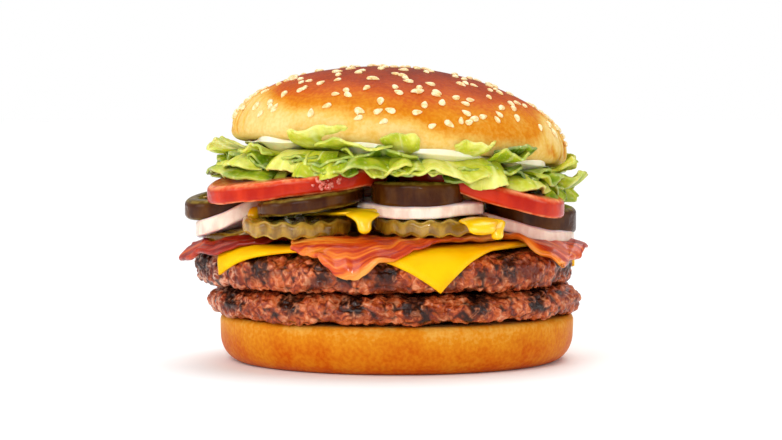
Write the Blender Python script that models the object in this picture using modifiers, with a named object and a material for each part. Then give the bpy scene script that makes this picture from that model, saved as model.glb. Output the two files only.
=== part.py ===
"""Double cheeseburger with bacon, pickles, onion, jalapenos, tomato, lettuce and a sesame bun.

Metres, +Z up. The origin is the middle of the flat that the lower bun rests on, and the front faces -Y.
The layers are laid one after another on a height map of the pile: stiff slices drop until they touch it,
limp ones follow a smooth sheet that hangs over it.
"""

import math
import random

import bmesh
import bpy
import numpy as np
from mathutils import Euler, Vector, noise
from mathutils.bvhtree import BVHTree

# Buns
HEEL_RADIUS = 0.0565
HEEL_HEIGHT = 0.0150
HEEL_FOOT_RADIUS = 0.0460
CROWN_RADIUS = 0.0540
CROWN_HEIGHT = 0.0288
CROWN_WIDEST = 0.0038
CROWN_PLACE = (0.0004, 0.0, 0.0658)
CROWN_LEAN_RIGHT = math.radians(4.9)
CROWN_LEAN_BACK = math.radians(4.0)
CROWN_FULLNESS = 2.15

# Beef patties
PATTY_RADIUS = 0.0597
LOWER_PATTY_THICKNESS = 0.0110
UPPER_PATTY_THICKNESS = 0.0098
LOWER_PATTY_X = -0.0008
UPPER_PATTY_X = -0.0043
CRAG_DEPTH = 0.0009
GAP = 0.0004

# The deck is the top of the upper patty: cheese and bacon lie on it and bend down over its rim
DECK_FLAT_RADIUS = 0.0536
DECK_BEND_RADIUS = 0.0066
DECK_STEEPEST = math.radians(74)
CHEESE_THICKNESS = 0.0018
BACON_THICKNESS = 0.0018

# Slices
PICKLE_THICKNESS = 0.0043
CRINKLE_PITCH = 0.0056
CRINKLE_DEPTH = 0.0009
ONION_THICKNESS = 0.0027
JALAPENO_THICKNESS = 0.0045
JALAPENO_ROUNDING = 0.0012
TOMATO_THICKNESS = 0.0042
TOMATO_SAG = 0.000006
SAUCE_THICKNESS = 0.0007
MUSTARD_RADIUS = 0.0370
LEAF_THICKNESS = 0.0009

# Sesame seeds, 3.2 mm long
SEED_LENGTH = 0.0032
SEED_WIDTH = 0.0020
SEED_HEIGHT = 0.0009
SEED_COUNT = 72
SEED_LOWEST = 0.30

# The height map is square, and heights are probed from far above or below
MAP_HALF = 0.080
MAP_STEP = 0.001
SKY = 0.2

# How far limp pieces stay off what they hang over, which leaves the gap that facets need
CLEARANCE = 0.0006
BACON_CLEARANCE = 0.0007
ONION_CLEARANCE = 0.0007
TOMATO_CLEARANCE = 0.0009
MUSTARD_CLEARANCE = 0.0010
LETTUCE_CLEARANCE = 0.0013
RELAX_PASSES = 1500


def arc(centre, radii, start, end, count):
    """Points of an elliptical arc, from the start to the end angle in degrees."""
    angles = np.radians(np.linspace(start, end, count))
    return [(centre[0] + radii[0] * math.cos(a), centre[1] + radii[1] * math.sin(a)) for a in angles]


def polar(degrees, reach):
    """The flat point at this heading from +X and this reach."""
    return reach * math.cos(math.radians(degrees)), reach * math.sin(math.radians(degrees))


def bumps(point, size, seed):
    """Smooth noise from about -1 to 1, with bumps of this size."""
    return noise.noise(Vector(point) / size + Vector((seed, 7.3 * seed, -3.1 * seed)))


def material(name, colour, roughness):
    """A Principled material of this colour and roughness."""
    made = bpy.data.materials.new(name)
    made.use_nodes = True
    shader = made.node_tree.nodes["Principled BSDF"]
    shader.inputs["Base Color"].default_value = (*colour, 1.0)
    shader.inputs["Roughness"].default_value = roughness
    shader.inputs["Metallic"].default_value = 0.0
    made.diffuse_color = (*colour, 1.0)
    return made


def new_collection(name):
    """A collection of this name in the scene."""
    made = bpy.data.collections.new(name)
    bpy.context.scene.collection.children.link(made)
    return made


def linked(name, mesh, finish, collection):
    """An object with this mesh and material in the collection."""
    obj = bpy.data.objects.new(name, mesh)
    if not mesh.materials:
        mesh.materials.append(finish)
    collection.objects.link(obj)
    return obj


def bake(obj):
    """Replaces the object's mesh by what its modifiers make of it, welded and facing out."""
    bpy.context.view_layer.update()
    mesh = bpy.data.meshes.new_from_object(obj.evaluated_get(bpy.context.evaluated_depsgraph_get()))
    obj.modifiers.clear()
    obj.data = mesh
    shell = bmesh.new()
    shell.from_mesh(mesh)
    bmesh.ops.remove_doubles(shell, verts=shell.verts, dist=1e-6)
    bmesh.ops.recalc_face_normals(shell, faces=shell.faces)
    shell.to_mesh(mesh)
    shell.free()
    return obj


def smooth(obj, sharp_degrees=50):
    """Shades the object smooth, apart from its sharp edges."""
    obj.data.shade_smooth()
    obj.data.set_sharp_from_angle(angle=math.radians(sharp_degrees))
    return obj


def reshape(obj, rule):
    """Moves every vertex to where the rule puts it."""
    for vertex in obj.data.vertices:
        vertex.co = rule(vertex.co)
    obj.data.update()
    return obj


def turned(name, profile, segments, finish, collection):
    """A closed turned solid. The profile runs down its outer side, from the axis to the axis."""
    mesh = bpy.data.meshes.new(name)
    edges = [(i, i + 1) for i in range(len(profile) - 1)]
    mesh.from_pydata([(x, 0.0, z) for x, z in profile], edges, [])
    obj = linked(name, mesh, finish, collection)
    screw = obj.modifiers.new("turn", "SCREW")
    screw.steps = screw.render_steps = segments
    screw.use_merge_vertices = True
    screw.merge_threshold = 1e-5
    return bake(obj)


def sheet(name, columns, rows, place, finish, collection, thickness):
    """A thin solid: a flat grid over -1..1 each way, moved by place(u, v), with its thickness above."""
    grid = bmesh.new()
    bmesh.ops.create_grid(grid, x_segments=columns, y_segments=rows, size=1.0)
    mesh = bpy.data.meshes.new(name)
    grid.to_mesh(mesh)
    grid.free()
    obj = linked(name, mesh, finish, collection)
    reshape(obj, lambda co: Vector(place(co.x, co.y)))
    split = obj.modifiers.new("split", "TRIANGULATE")
    split.quad_method = "FIXED"
    wall = obj.modifiers.new("thickness", "SOLIDIFY")
    wall.thickness = thickness
    wall.offset = 1.0
    return bake(obj)


def fused(core, name, pieces):
    """The core with every object of the collection joined on, after which the collection goes."""
    join = core.modifiers.new(name, "BOOLEAN")
    join.operation = "UNION"
    join.operand_type = "COLLECTION"
    join.collection = pieces
    join.solver = "EXACT"
    bake(core)
    for piece in list(pieces.objects):
        bpy.data.objects.remove(piece)
    bpy.data.collections.remove(pieces)
    return core


class Relief:
    """Heights over a square map: the top of what has been laid so far."""

    def __init__(self, level):
        self.axis = np.arange(-MAP_HALF, MAP_HALF + MAP_STEP / 2, MAP_STEP)
        self.height = np.full((len(self.axis), len(self.axis)), float(level))

    def at(self, x, y):
        """The height at a point, blended between the four map points round it."""
        limit = len(self.axis) - 1.001
        column = min(max((x + MAP_HALF) / MAP_STEP, 0.0), limit)
        row = min(max((y + MAP_HALF) / MAP_STEP, 0.0), limit)
        i, j = int(column), int(row)
        a, b = column - i, row - j
        near = (1 - a) * self.height[j, i] + a * self.height[j, i + 1]
        far = (1 - a) * self.height[j + 1, i] + a * self.height[j + 1, i + 1]
        return (1 - b) * near + b * far

    def span(self, low, high):
        """The map's indices between two coordinates, one step wider."""
        first = max(int((low + MAP_HALF) / MAP_STEP) - 1, 0)
        last = min(int((high + MAP_HALF) / MAP_STEP) + 2, len(self.axis) - 1)
        return range(first, last + 1)

    def rays(self, obj, down):
        """(row, column, height) wherever a vertical ray meets the object's top, or its underside."""
        bpy.context.view_layer.update()
        tree = BVHTree.FromObject(obj, bpy.context.evaluated_depsgraph_get())
        place = obj.matrix_world
        corners = [place @ vertex.co for vertex in obj.data.vertices]
        inverse = place.inverted()
        start = SKY if down else -SKY
        way = inverse.to_3x3() @ Vector((0, 0, -1 if down else 1))
        for j in self.span(min(c.y for c in corners), max(c.y for c in corners)):
            for i in self.span(min(c.x for c in corners), max(c.x for c in corners)):
                origin = inverse @ Vector((self.axis[i], self.axis[j], start))
                hit = tree.ray_cast(origin, way)[0]
                if hit is not None:
                    yield j, i, (place @ hit).z

    def around(self, values):
        """Each map point's own value and its eight neighbours'."""
        padded = np.pad(values, 1, mode="edge")
        size = len(values)
        return [padded[j:j + size, i:i + size] for j in range(3) for i in range(3)]

    def add(self, obj):
        """Takes in the top of an object."""
        for j, i, z in self.rays(obj, down=True):
            self.height[j, i] = max(self.height[j, i], z)

    def add_sheet(self, top):
        """Takes in a sheet's top, given by top(u, v) as (x, y, height)."""
        for u in np.linspace(-1, 1, 200):
            for v in np.linspace(-1, 1, 130):
                x, y, z = top(u, v)
                i = round((x + MAP_HALF) / MAP_STEP)
                j = round((y + MAP_HALF) / MAP_STEP)
                self.height[j, i] = max(self.height[j, i], z)

    def widened(self):
        """The same heights, each spread to its neighbours."""
        return np.max(self.around(self.height), axis=0)

    def draped(self, sag, place=(0.0, 0.0), radius=0.075, clearance=CLEARANCE):
        """The underside of a limp round sheet on the pile: it sinks until it touches, and stays smooth."""
        reach = np.hypot(*np.meshgrid(self.axis - place[0], self.axis - place[1]))
        inside = reach < radius + 3 * MAP_STEP
        support = np.where(reach < radius + MAP_STEP / 2, self.widened() + clearance, 0.0)
        hung = np.full_like(support, support.max())
        count = np.maximum(sum(self.around(inside.astype(float))), 1.0)
        for _ in range(RELAX_PASSES):
            near = sum(self.around(np.where(inside, hung, 0.0))) / count
            hung = np.maximum(support, near - sag)
        made = Relief(0.0)
        made.height = hung
        return made


def drop(obj, pile):
    """Moves a piece straight down or up until it rests on the pile, and adds it to the pile."""
    wide = pile.widened()
    obj.location.z += max(wide[j, i] - z for j, i, z in pile.rays(obj, down=False)) + GAP
    pile.add(obj)
    return obj


# Lower bun and beef

def heel_bun(finish, collection):
    """The lower bun: a low drum whose side rolls in to a smaller foot."""
    side = HEEL_HEIGHT - 0.0040
    rim = arc((HEEL_RADIUS - 0.0020, HEEL_HEIGHT - 0.0020), (0.0020, 0.0020), 90, 0, 3)
    foot = arc((HEEL_FOOT_RADIUS, side), (HEEL_RADIUS - HEEL_FOOT_RADIUS - 0.0001, side), 0, -90, 6)
    heel = turned("bun_heel", [(0.0, HEEL_HEIGHT), *rim, *foot, (0.0, 0.0)], 32, finish, collection)

    def uneven(co):
        """The side wanders by up to half a millimetre, and the foot stays round."""
        swell = 1 + 0.009 * min(co.z / HEEL_HEIGHT, 1.0) * bumps((co.x, co.y, 0), 0.03, 1)
        return Vector((co.x * swell, co.y * swell, co.z))

    return smooth(reshape(heel, uneven))


def patty(name, bottom, thickness, centre_x, seed, finish, collection):
    """A grilled patty: a round-edged disc with a crumbly, uneven side and flat faces."""
    shoulder = 0.0060
    foot_round = 0.0036
    upper_radii = (PATTY_RADIUS - DECK_FLAT_RADIUS + 0.0006, shoulder)
    upper = arc((DECK_FLAT_RADIUS - 0.0006, thickness - shoulder), upper_radii, 90, 8, 5)
    lower = arc((PATTY_RADIUS - foot_round, foot_round), (foot_round - 0.0003, foot_round), -14, -90, 4)
    made = turned(name, [(0.0, thickness), *upper, *lower, (0.0, 0.0)], 40, finish, collection)

    def craggy(co):
        """Crags push the side in and out, more at mid height than at the faces."""
        reach = math.hypot(co.x, co.y)
        edge = min(max((reach - 0.050) / 0.008, 0.0), 1.0)
        high = math.sin(math.pi * min(max(co.z / thickness, 0.0), 1.0))
        crag = 0.9 * bumps(co, 0.0046, seed) + 0.8 * bumps(co, 0.011, seed + 5)
        push = min(CRAG_DEPTH * edge * (0.35 + 0.65 * high) * crag, 0.0004 * edge)
        sink = 0.0005 * edge * high * bumps(co, 0.005, seed + 9)
        scale = (reach + push) / max(reach, 1e-6)
        return Vector((co.x * scale, co.y * scale, co.z + sink))

    reshape(made, craggy)
    made.location = (centre_x, 0.0, bottom)
    return smooth(made, 70)


# Cheese and bacon

LOWER_PATTY_Z = HEEL_HEIGHT + GAP
UPPER_PATTY_Z = LOWER_PATTY_Z + LOWER_PATTY_THICKNESS + GAP
DECK_Z = UPPER_PATTY_Z + UPPER_PATTY_THICKNESS
CHEESE_LEVEL = 0.0007
BEND_ROOM = 0.0012

# The way each corner of the cheese slice points from the patty's middle, and how far it reaches
CHEESE_CORNERS = [(-144, 0.0640), (-75, 0.0685), (10, 0.0680), (102, 0.0660)]


def over_rim(x, y, level):
    """Where a sheet's flat point comes to lie: level above the deck, bent down past the patty's rim."""
    dx, dy = x - UPPER_PATTY_X, y
    reach = math.hypot(dx, dy)
    if reach <= DECK_FLAT_RADIUS:
        return Vector((x, y, DECK_Z + level))
    bend = DECK_BEND_RADIUS + level
    angle = min((reach - DECK_FLAT_RADIUS) / bend, DECK_STEEPEST)
    run = reach - DECK_FLAT_RADIUS - bend * angle
    out = DECK_FLAT_RADIUS + bend * math.sin(angle) + run * math.cos(angle)
    down = bend * (1 - math.cos(angle)) + run * math.sin(angle)
    return Vector((UPPER_PATTY_X + dx / reach * out, dy / reach * out, DECK_Z + level - down))


def cheese_flat(u, v):
    """The cheese slice's flat point: a square whose melted corners have crept, u and v from -1 to 1."""
    shares = [(1 - u) * (1 - v) / 4, (1 + u) * (1 - v) / 4, (1 + u) * (1 + v) / 4, (1 - u) * (1 + v) / 4]
    corners = [polar(degrees, reach) for degrees, reach in CHEESE_CORNERS]
    x = sum(share * corner[0] for share, corner in zip(shares, corners))
    y = sum(share * corner[1] for share, corner in zip(shares, corners))
    return UPPER_PATTY_X + x, y


def cheese(finish, collection, deck):
    """One square slice, bent down over the patty's rim at its corners."""

    def closer(u):
        """Grid lines close up towards the edges, where the corners bend."""
        return math.copysign(abs(u) ** 0.6, u)

    def place(u, v):
        return over_rim(*cheese_flat(closer(u), closer(v)), CHEESE_LEVEL)

    deck.add_sheet(lambda u, v: (*cheese_flat(u, v), CHEESE_LEVEL + CHEESE_THICKNESS))
    return smooth(sheet("cheese_slice", 12, 12, place, finish, collection, CHEESE_THICKNESS))


def along(points, share):
    """A smooth curve through the points, at this share of the way: Catmull-Rom."""
    spans = len(points) - 1
    place = min(max(share, 0.0), 0.99999) * spans
    i = int(place)
    t = place - i
    four = points[max(i - 1, 0)], points[i], points[i + 1], points[min(i + 2, spans)]
    return [b + 0.5 * ((c - a) * t + (2 * a - 5 * b + 4 * c - d) * t * t + (3 * b - a - 3 * c + d) * t ** 3)
            for a, b, c, d in zip(*four)]


def bacon(name, route, rows, finish, collection, deck):
    """A rasher over the deck. Each route point has x, y, the width and the ripple of the outer edge."""
    laid = deck.draped(sag=0.00003, clearance=BACON_CLEARANCE)

    def flat(u, v):
        """The rasher's underside on the flattened deck: v is -1 along its outer edge."""
        share = (u + 1) / 2
        x, y, width, ripple = along(route, share)
        ahead = along(route, min(share + 0.01, 1.0))
        behind = along(route, max(share - 0.01, 0.0))
        dx, dy = ahead[0] - behind[0], ahead[1] - behind[1]
        length = math.hypot(dx, dy)
        x, y = x - dy / length * v * width / 2, y + dx / length * v * width / 2
        bent = min(max((math.hypot(x - UPPER_PATTY_X, y) - DECK_FLAT_RADIUS) / 0.003, 0.0), 1.0)
        return x, y, laid.at(x, y) + max(ripple, 0.0) * ((1 - v) / 2) ** 6 + BEND_ROOM * bent

    def top(u, v):
        x, y, level = flat(u, v)
        return x, y, level + BACON_THICKNESS

    def place(u, v):
        return over_rim(*flat(u, v))

    deck.add_sheet(top)
    return smooth(sheet(name, 20, rows, place, finish, collection, BACON_THICKNESS))


# Each rasher's route on the flattened deck: x, y, width, ripple of the outer edge
LEFT_RASHER = [
    (-0.0660, -0.0180, 0.012, 0.0005),
    (-0.0530, -0.0260, 0.020, 0.0010),
    (-0.0430, -0.0290, 0.020, 0.0002),
    (-0.0340, -0.0230, 0.020, 0.0),
    (-0.0300, -0.0090, 0.020, 0.0),
    (-0.0320, 0.0060, 0.020, 0.0),
]
MIDDLE_RASHER = [
    (-0.0300, -0.0520, 0.008, 0.0014),
    (-0.0220, -0.0520, 0.018, 0.0),
    (-0.0110, -0.0520, 0.026, 0.0),
    (0.0010, -0.0480, 0.024, 0.0004),
    (0.0120, -0.0370, 0.024, 0.0004),
    (0.0270, -0.0400, 0.022, 0.0008),
    (0.0340, -0.0440, 0.014, 0.0006),
]
RIGHT_RASHER = [
    (-0.0300, 0.0440, 0.022, 0.0008),
    (-0.0060, 0.0300, 0.024, 0.0),
    (0.0140, 0.0120, 0.024, 0.0),
    (0.0280, -0.0060, 0.022, 0.0),
    (0.0420, -0.0220, 0.022, 0.0),
    (0.0540, -0.0330, 0.026, 0.0),
]


# Slices

def slice_edge(radius, thickness, rounding):
    """The profile of a round slice with bevelled edges."""
    half = thickness / 2
    upper = [(0.0, half), (radius - rounding, half), (radius, half - rounding)]
    return upper + [(x, -z) for x, z in reversed(upper)]


def ring_edge(radius, thickness, rounding, dish_radius, dish):
    """The same with a shallow dish in its top, as where the seeds sit in a pepper slice."""
    floor = thickness / 2 - dish
    return [(0.0, floor), (dish_radius - 0.0010, floor), (dish_radius, thickness / 2),
            *slice_edge(radius, thickness, rounding)[1:]]


def lobed(co, phase):
    """The vertex moved in or out with its heading, so that a slice isn't a perfect round."""
    heading = math.atan2(co.y, co.x)
    swell = 1 + 0.03 * math.sin(3 * heading + phase) + 0.018 * math.sin(2 * heading - phase)
    return Vector((co.x * swell, co.y * swell, co.z))


def jalapeno(name, place, lean, profile, finish, collection, pile):
    """A thick pepper slice at (x, y), leaning by degrees about X and about Y, dropped on the pile."""
    made = turned(name, profile, 22, finish, collection)
    reshape(made, lambda co: lobed(co, place[0] * 90))
    made.rotation_euler = Euler((math.radians(lean[0]), math.radians(lean[1]), 0.0))
    made.location = (*place, DECK_Z)
    return smooth(drop(made, pile))


def crinkled_slab(name, half_width, finish, collection):
    """A slab whose top and bottom faces have the same waves across X."""
    xs = np.linspace(-half_width, half_width, 23)
    waves = [CRINKLE_DEPTH / 2 * math.sin(2 * math.pi * x / CRINKLE_PITCH) for x in xs]
    half = PICKLE_THICKNESS / 2
    outline = [(x, wave + half) for x, wave in zip(xs, waves)]
    outline += [(x, wave - half) for x, wave in reversed(list(zip(xs, waves)))]
    curve = bpy.data.curves.new(name, "CURVE")
    curve.dimensions = "2D"
    curve.fill_mode = "BOTH"
    curve.extrude = half_width
    spline = curve.splines.new("POLY")
    spline.points.add(len(outline) - 1)
    spline.use_cyclic_u = True
    for point, (x, z) in zip(spline.points, outline):
        point.co = (x, z, 0.0, 1.0)
    drawn = bpy.data.objects.new(name + "_outline", curve)
    collection.objects.link(drawn)
    bpy.context.view_layer.update()
    mesh = bpy.data.meshes.new_from_object(drawn.evaluated_get(bpy.context.evaluated_depsgraph_get()))
    mesh.transform(Euler((math.pi / 2, 0.0, 0.0)).to_matrix().to_4x4())
    bpy.data.objects.remove(drawn)
    return bake(linked(name, mesh, finish, collection))


def pickle(name, place, radius, turn, finish, collection, cutters, pile):
    """A crinkle-cut pickle slice: a waved slab cut round, turned by degrees and dropped on the pile."""
    made = crinkled_slab(name, radius + 0.0015, finish, collection)
    drum = bmesh.new()
    bmesh.ops.create_cone(drum, cap_ends=True, segments=24, radius1=radius, radius2=radius,
                          depth=3 * PICKLE_THICKNESS)
    mesh = bpy.data.meshes.new(name + "_round")
    drum.to_mesh(mesh)
    drum.free()
    cutter = bpy.data.objects.new(name + "_round", mesh)
    cutter.hide_render = True
    cutter.display_type = "WIRE"
    cutters.objects.link(cutter)
    trim = made.modifiers.new("round", "BOOLEAN")
    trim.operation = "INTERSECT"
    trim.object = cutter
    trim.solver = "EXACT"
    bake(made)
    bpy.data.objects.remove(cutter)
    reshape(made, lambda co: lobed(co, place[0] * 90))
    made.rotation_euler = Euler((0.0, 0.0, math.radians(turn)))
    made.location = (*place, DECK_Z)
    return smooth(drop(made, pile), 40)


def film(reaches, edge):
    """The profile of a thin round piece, for a radius and thickness of 1: the same reaches above and below."""
    return [(x, 1.0) for x in reaches] + edge + [(x, 0.0) for x in reversed(reaches)]


FILM = film([0.0, 0.55, 0.95], [(1.0, 0.5)])
FINE_FILM = film([0.0, 0.28, 0.46, 0.68, 0.84], [(1.0, 0.5)])
BLUNT_FILM = film([0.0, 0.35, 0.65, 0.9], [(1.0, 0.8), (1.0, 0.2)])


def limp_slice(name, place, outline, thickness, sag, finish, collection, pile, profile=FILM, segments=24,
               clearance=CLEARANCE):
    """A thin round piece that hangs over the pile. outline(heading) gives its radius."""
    widest = max(outline(heading) for heading in np.linspace(0.0, 2 * math.pi, 60))
    hung = pile.draped(sag, place, widest, clearance)
    made = turned(name, profile, segments, finish, collection)

    def lay(co):
        heading = math.atan2(co.y, co.x)
        reach = outline(heading) * math.hypot(co.x, co.y)
        x, y = place[0] + reach * math.cos(heading), place[1] + reach * math.sin(heading)
        return Vector((x, y, hung.at(x, y) + co.z * thickness))

    pile.add(reshape(made, lay))
    return smooth(made)


def rounded(radius, phase):
    """An outline for limp slices: a circle that is a little uneven."""
    return lambda heading: radius * (1 + 0.02 * math.sin(2 * heading + phase) + 0.012 * math.sin(3 * heading))


def lobes(places):
    """How far a film reaches past its mean radius at a heading. Each lobe has degrees, width and reach."""

    def reach(heading):
        total = 0.0
        for degrees, width, amount in places:
            off = (heading - math.radians(degrees) + math.pi) % (2 * math.pi) - math.pi
            total += amount * math.exp(-((off / math.radians(width)) ** 2))
        return total

    return reach


# Upper bun, mayonnaise and lettuce

def crown_turn():
    """The crown's lean: its right side and its back are lower."""
    return Euler((-CROWN_LEAN_BACK, CROWN_LEAN_RIGHT, 0.0))


def crown_plane(x, y):
    """The height of the crown's cut face above (x, y)."""
    normal = crown_turn().to_matrix() @ Vector((0, 0, 1))
    return CROWN_PLACE[2] - (normal.x * (x - CROWN_PLACE[0]) + normal.y * (y - CROWN_PLACE[1])) / normal.z


def dome_point(slope, heading):
    """A point of the dome: slope runs from 0 at the widest line to a right angle at the top."""
    power = 2 / CROWN_FULLNESS
    reach = CROWN_RADIUS * max(math.cos(slope), 0.0) ** power
    height = CROWN_WIDEST + (CROWN_HEIGHT - CROWN_WIDEST) * math.sin(slope) ** power
    return Vector((reach * math.cos(heading), reach * math.sin(heading), height))


def seed_places():
    """(place, outward direction, turn) of each seed: an even spiral over the dome, shaken a little."""
    draw = random.Random(11)
    golden = math.pi * (3 - math.sqrt(5))
    for number in range(SEED_COUNT):
        share = 1 - (number + 0.5) / SEED_COUNT * (1 - SEED_LOWEST)
        slope = min(max(math.asin(share) + draw.uniform(-0.05, 0.05), 0.12), 1.52)
        heading = number * golden + draw.uniform(-0.12, 0.12)
        here = dome_point(slope, heading)
        up = dome_point(slope + 0.02, heading) - here
        sideways = dome_point(slope, heading + 0.02) - here
        yield here, sideways.cross(up).normalized(), draw.uniform(0, math.pi)


def seed_mesh():
    """A sesame seed: a six-sided drop with a flatter top, pointed at one end."""
    grain = bmesh.new()
    bmesh.ops.create_cone(grain, cap_ends=True, segments=6, radius1=0.5, radius2=0.28, depth=2.0)
    for vertex in grain.verts:
        taper = 1 - 0.7 * vertex.co.x
        vertex.co = Vector((vertex.co.x * SEED_LENGTH, vertex.co.y * taper * SEED_WIDTH,
                            vertex.co.z * SEED_HEIGHT * 0.7))
    mesh = bpy.data.meshes.new("seed")
    grain.to_mesh(mesh)
    grain.free()
    return mesh


def crown_bun(finish, collection):
    """The upper bun: a dome with a rolled-in foot and its sesame seeds fused on."""
    dome = [dome_point(slope, 0.0) for slope in np.radians([76, 62, 49, 37, 26, 16, 7, 0])]
    foot = arc((CROWN_RADIUS - 0.0035, CROWN_WIDEST), (0.0035, CROWN_WIDEST), -32, -90, 3)
    profile = [(0.0, CROWN_HEIGHT), *[(point.x, point.z) for point in dome], *foot, (0.0, 0.0)]
    crown = turned("bun_crown", profile, 36, finish, collection)
    seeds = new_collection("seeds")
    grain = seed_mesh()
    for number, (place, away, turn) in enumerate(seed_places()):
        seed = bpy.data.objects.new(f"seed_{number}", grain)
        seed.rotation_mode = "QUATERNION"
        seed.rotation_quaternion = away.to_track_quat("Z", "X") @ Euler((0, 0, turn)).to_quaternion()
        seed.location = place - away * 0.0001
        seeds.objects.link(seed)
    fused(crown, "seeds", seeds)
    crown.rotation_euler = crown_turn()
    crown.location = CROWN_PLACE
    return smooth(crown, 40)


# Where the mayonnaise swells out: heading in degrees, width in degrees and share of the full swell
MAYO_BLOBS = [
    (-142, 9, 1.0),
    (-101, 12, 1.0),
    (-74, 13, 1.0),
    (-33, 10, 1.0),
    (20, 14, 0.7),
    (80, 20, 0.8),
    (150, 16, 0.7),
]
MAYO_RADIUS = 0.0485
MAYO_SWELL = 0.0026
MAYO_THIN = 0.0006
MAYO_THICKEN = 0.0022


def mayonnaise(finish, collection):
    """Mayonnaise under the crown, which swells out below its rim in places."""
    blobs = lobes(MAYO_BLOBS)
    made = turned("mayonnaise", FILM, 44, finish, collection)

    def lay(co):
        heading = math.atan2(co.y, co.x)
        share = math.hypot(co.x, co.y)
        swell = min(blobs(heading), 1.0)
        reach = share * (MAYO_RADIUS + MAYO_SWELL * swell)
        deep = MAYO_THIN + MAYO_THICKEN * swell * max((share - 0.55) / 0.45, 0.0) ** 3
        return Vector((reach * math.cos(heading), reach * math.sin(heading), -GAP - deep * (1 - co.z)))

    reshape(made, lay)
    made.rotation_euler = crown_turn()
    made.location = CROWN_PLACE
    return smooth(made)


# Each leaf's heading in degrees, half span in degrees, reach, rise of the margin past the bun,
# number of ruffles, their depth and phase
LEAVES = [
    (-168, 12, 0.0625, -0.0010, 1.3, 0.0026, 0.4),
    (-140, 14, 0.0595, 0.0058, 1.3, 0.0024, 2.2),
    (-111, 13, 0.0580, 0.0030, 1.4, 0.0026, 4.0),
    (-83, 13, 0.0575, 0.0000, 1.4, 0.0022, 0.6),
    (-54, 14, 0.0590, 0.0000, 1.6, 0.0036, 3.1),
    (-24, 14, 0.0605, 0.0000, 1.4, 0.0034, 5.2),
    (8, 16, 0.0600, 0.0000, 1.4, 0.0030, 1.2),
    (42, 16, 0.0590, 0.0000, 1.6, 0.0026, 2.4),
    (76, 16, 0.0580, 0.0010, 1.6, 0.0026, 0.2),
    (110, 16, 0.0590, 0.0000, 1.6, 0.0026, 4.4),
    (143, 15, 0.0600, 0.0010, 1.5, 0.0026, 1.9),
    (168, 9, 0.0610, 0.0000, 1.0, 0.0026, 3.0),
]
LETTUCE_CORE = 0.0410
MAYO_DEPTH = 0.0036


def lettuce(finish, collection, pile):
    """Lettuce in one piece: a packed core, and leaves whose ruffled margins stand out all round."""
    hung = pile.draped(sag=0.00001, radius=0.066, clearance=LETTUCE_CLEARANCE)
    core = turned("lettuce", BLUNT_FILM, 28, finish, collection)

    def pack(co):
        heading = math.atan2(co.y, co.x)
        reach = math.hypot(co.x, co.y) * (LETTUCE_CORE + 0.0010 * math.sin(5 * heading + 1))
        x, y = reach * math.cos(heading), reach * math.sin(heading)
        low = hung.at(x, y)
        high = max(crown_plane(x, y) - 0.0022, low + 0.0006)
        return Vector((x, y, low + (high - low) * co.z))

    reshape(core, pack)
    leaves = new_collection("leaves")
    for number, (degrees, span, outer, rise, ruffles, depth, phase) in enumerate(LEAVES):

        def place(u, v, degrees=degrees, span=span, outer=outer, rise=rise, ruffles=ruffles, depth=depth,
                  phase=phase):
            share = (v + 1) / 2
            inner = LETTUCE_CORE - 0.0060
            reach = inner + (outer * (1 - 0.05 * u * u) - inner) * share
            x, y = polar(degrees + span * u * (0.8 + 0.2 * share), reach)
            low = hung.at(x, y) + 0.0001
            high = max(crown_plane(x, y) - MAYO_DEPTH - LEAF_THICKNESS, low)
            free = min(max((reach - 0.0535) / 0.0035, 0.0), 1.0)
            wave = depth * share * math.sin(math.pi * ruffles * u + phase)
            middle = min(max((low + high) / 2 + wave, low), high)
            return x, y, max(middle + free * (rise + 0.4 * wave), low)

        sheet(f"leaf_{number}", 7, 3, place, finish, leaves, LEAF_THICKNESS)
    return smooth(fused(core, "leaves", leaves), 60)


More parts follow.
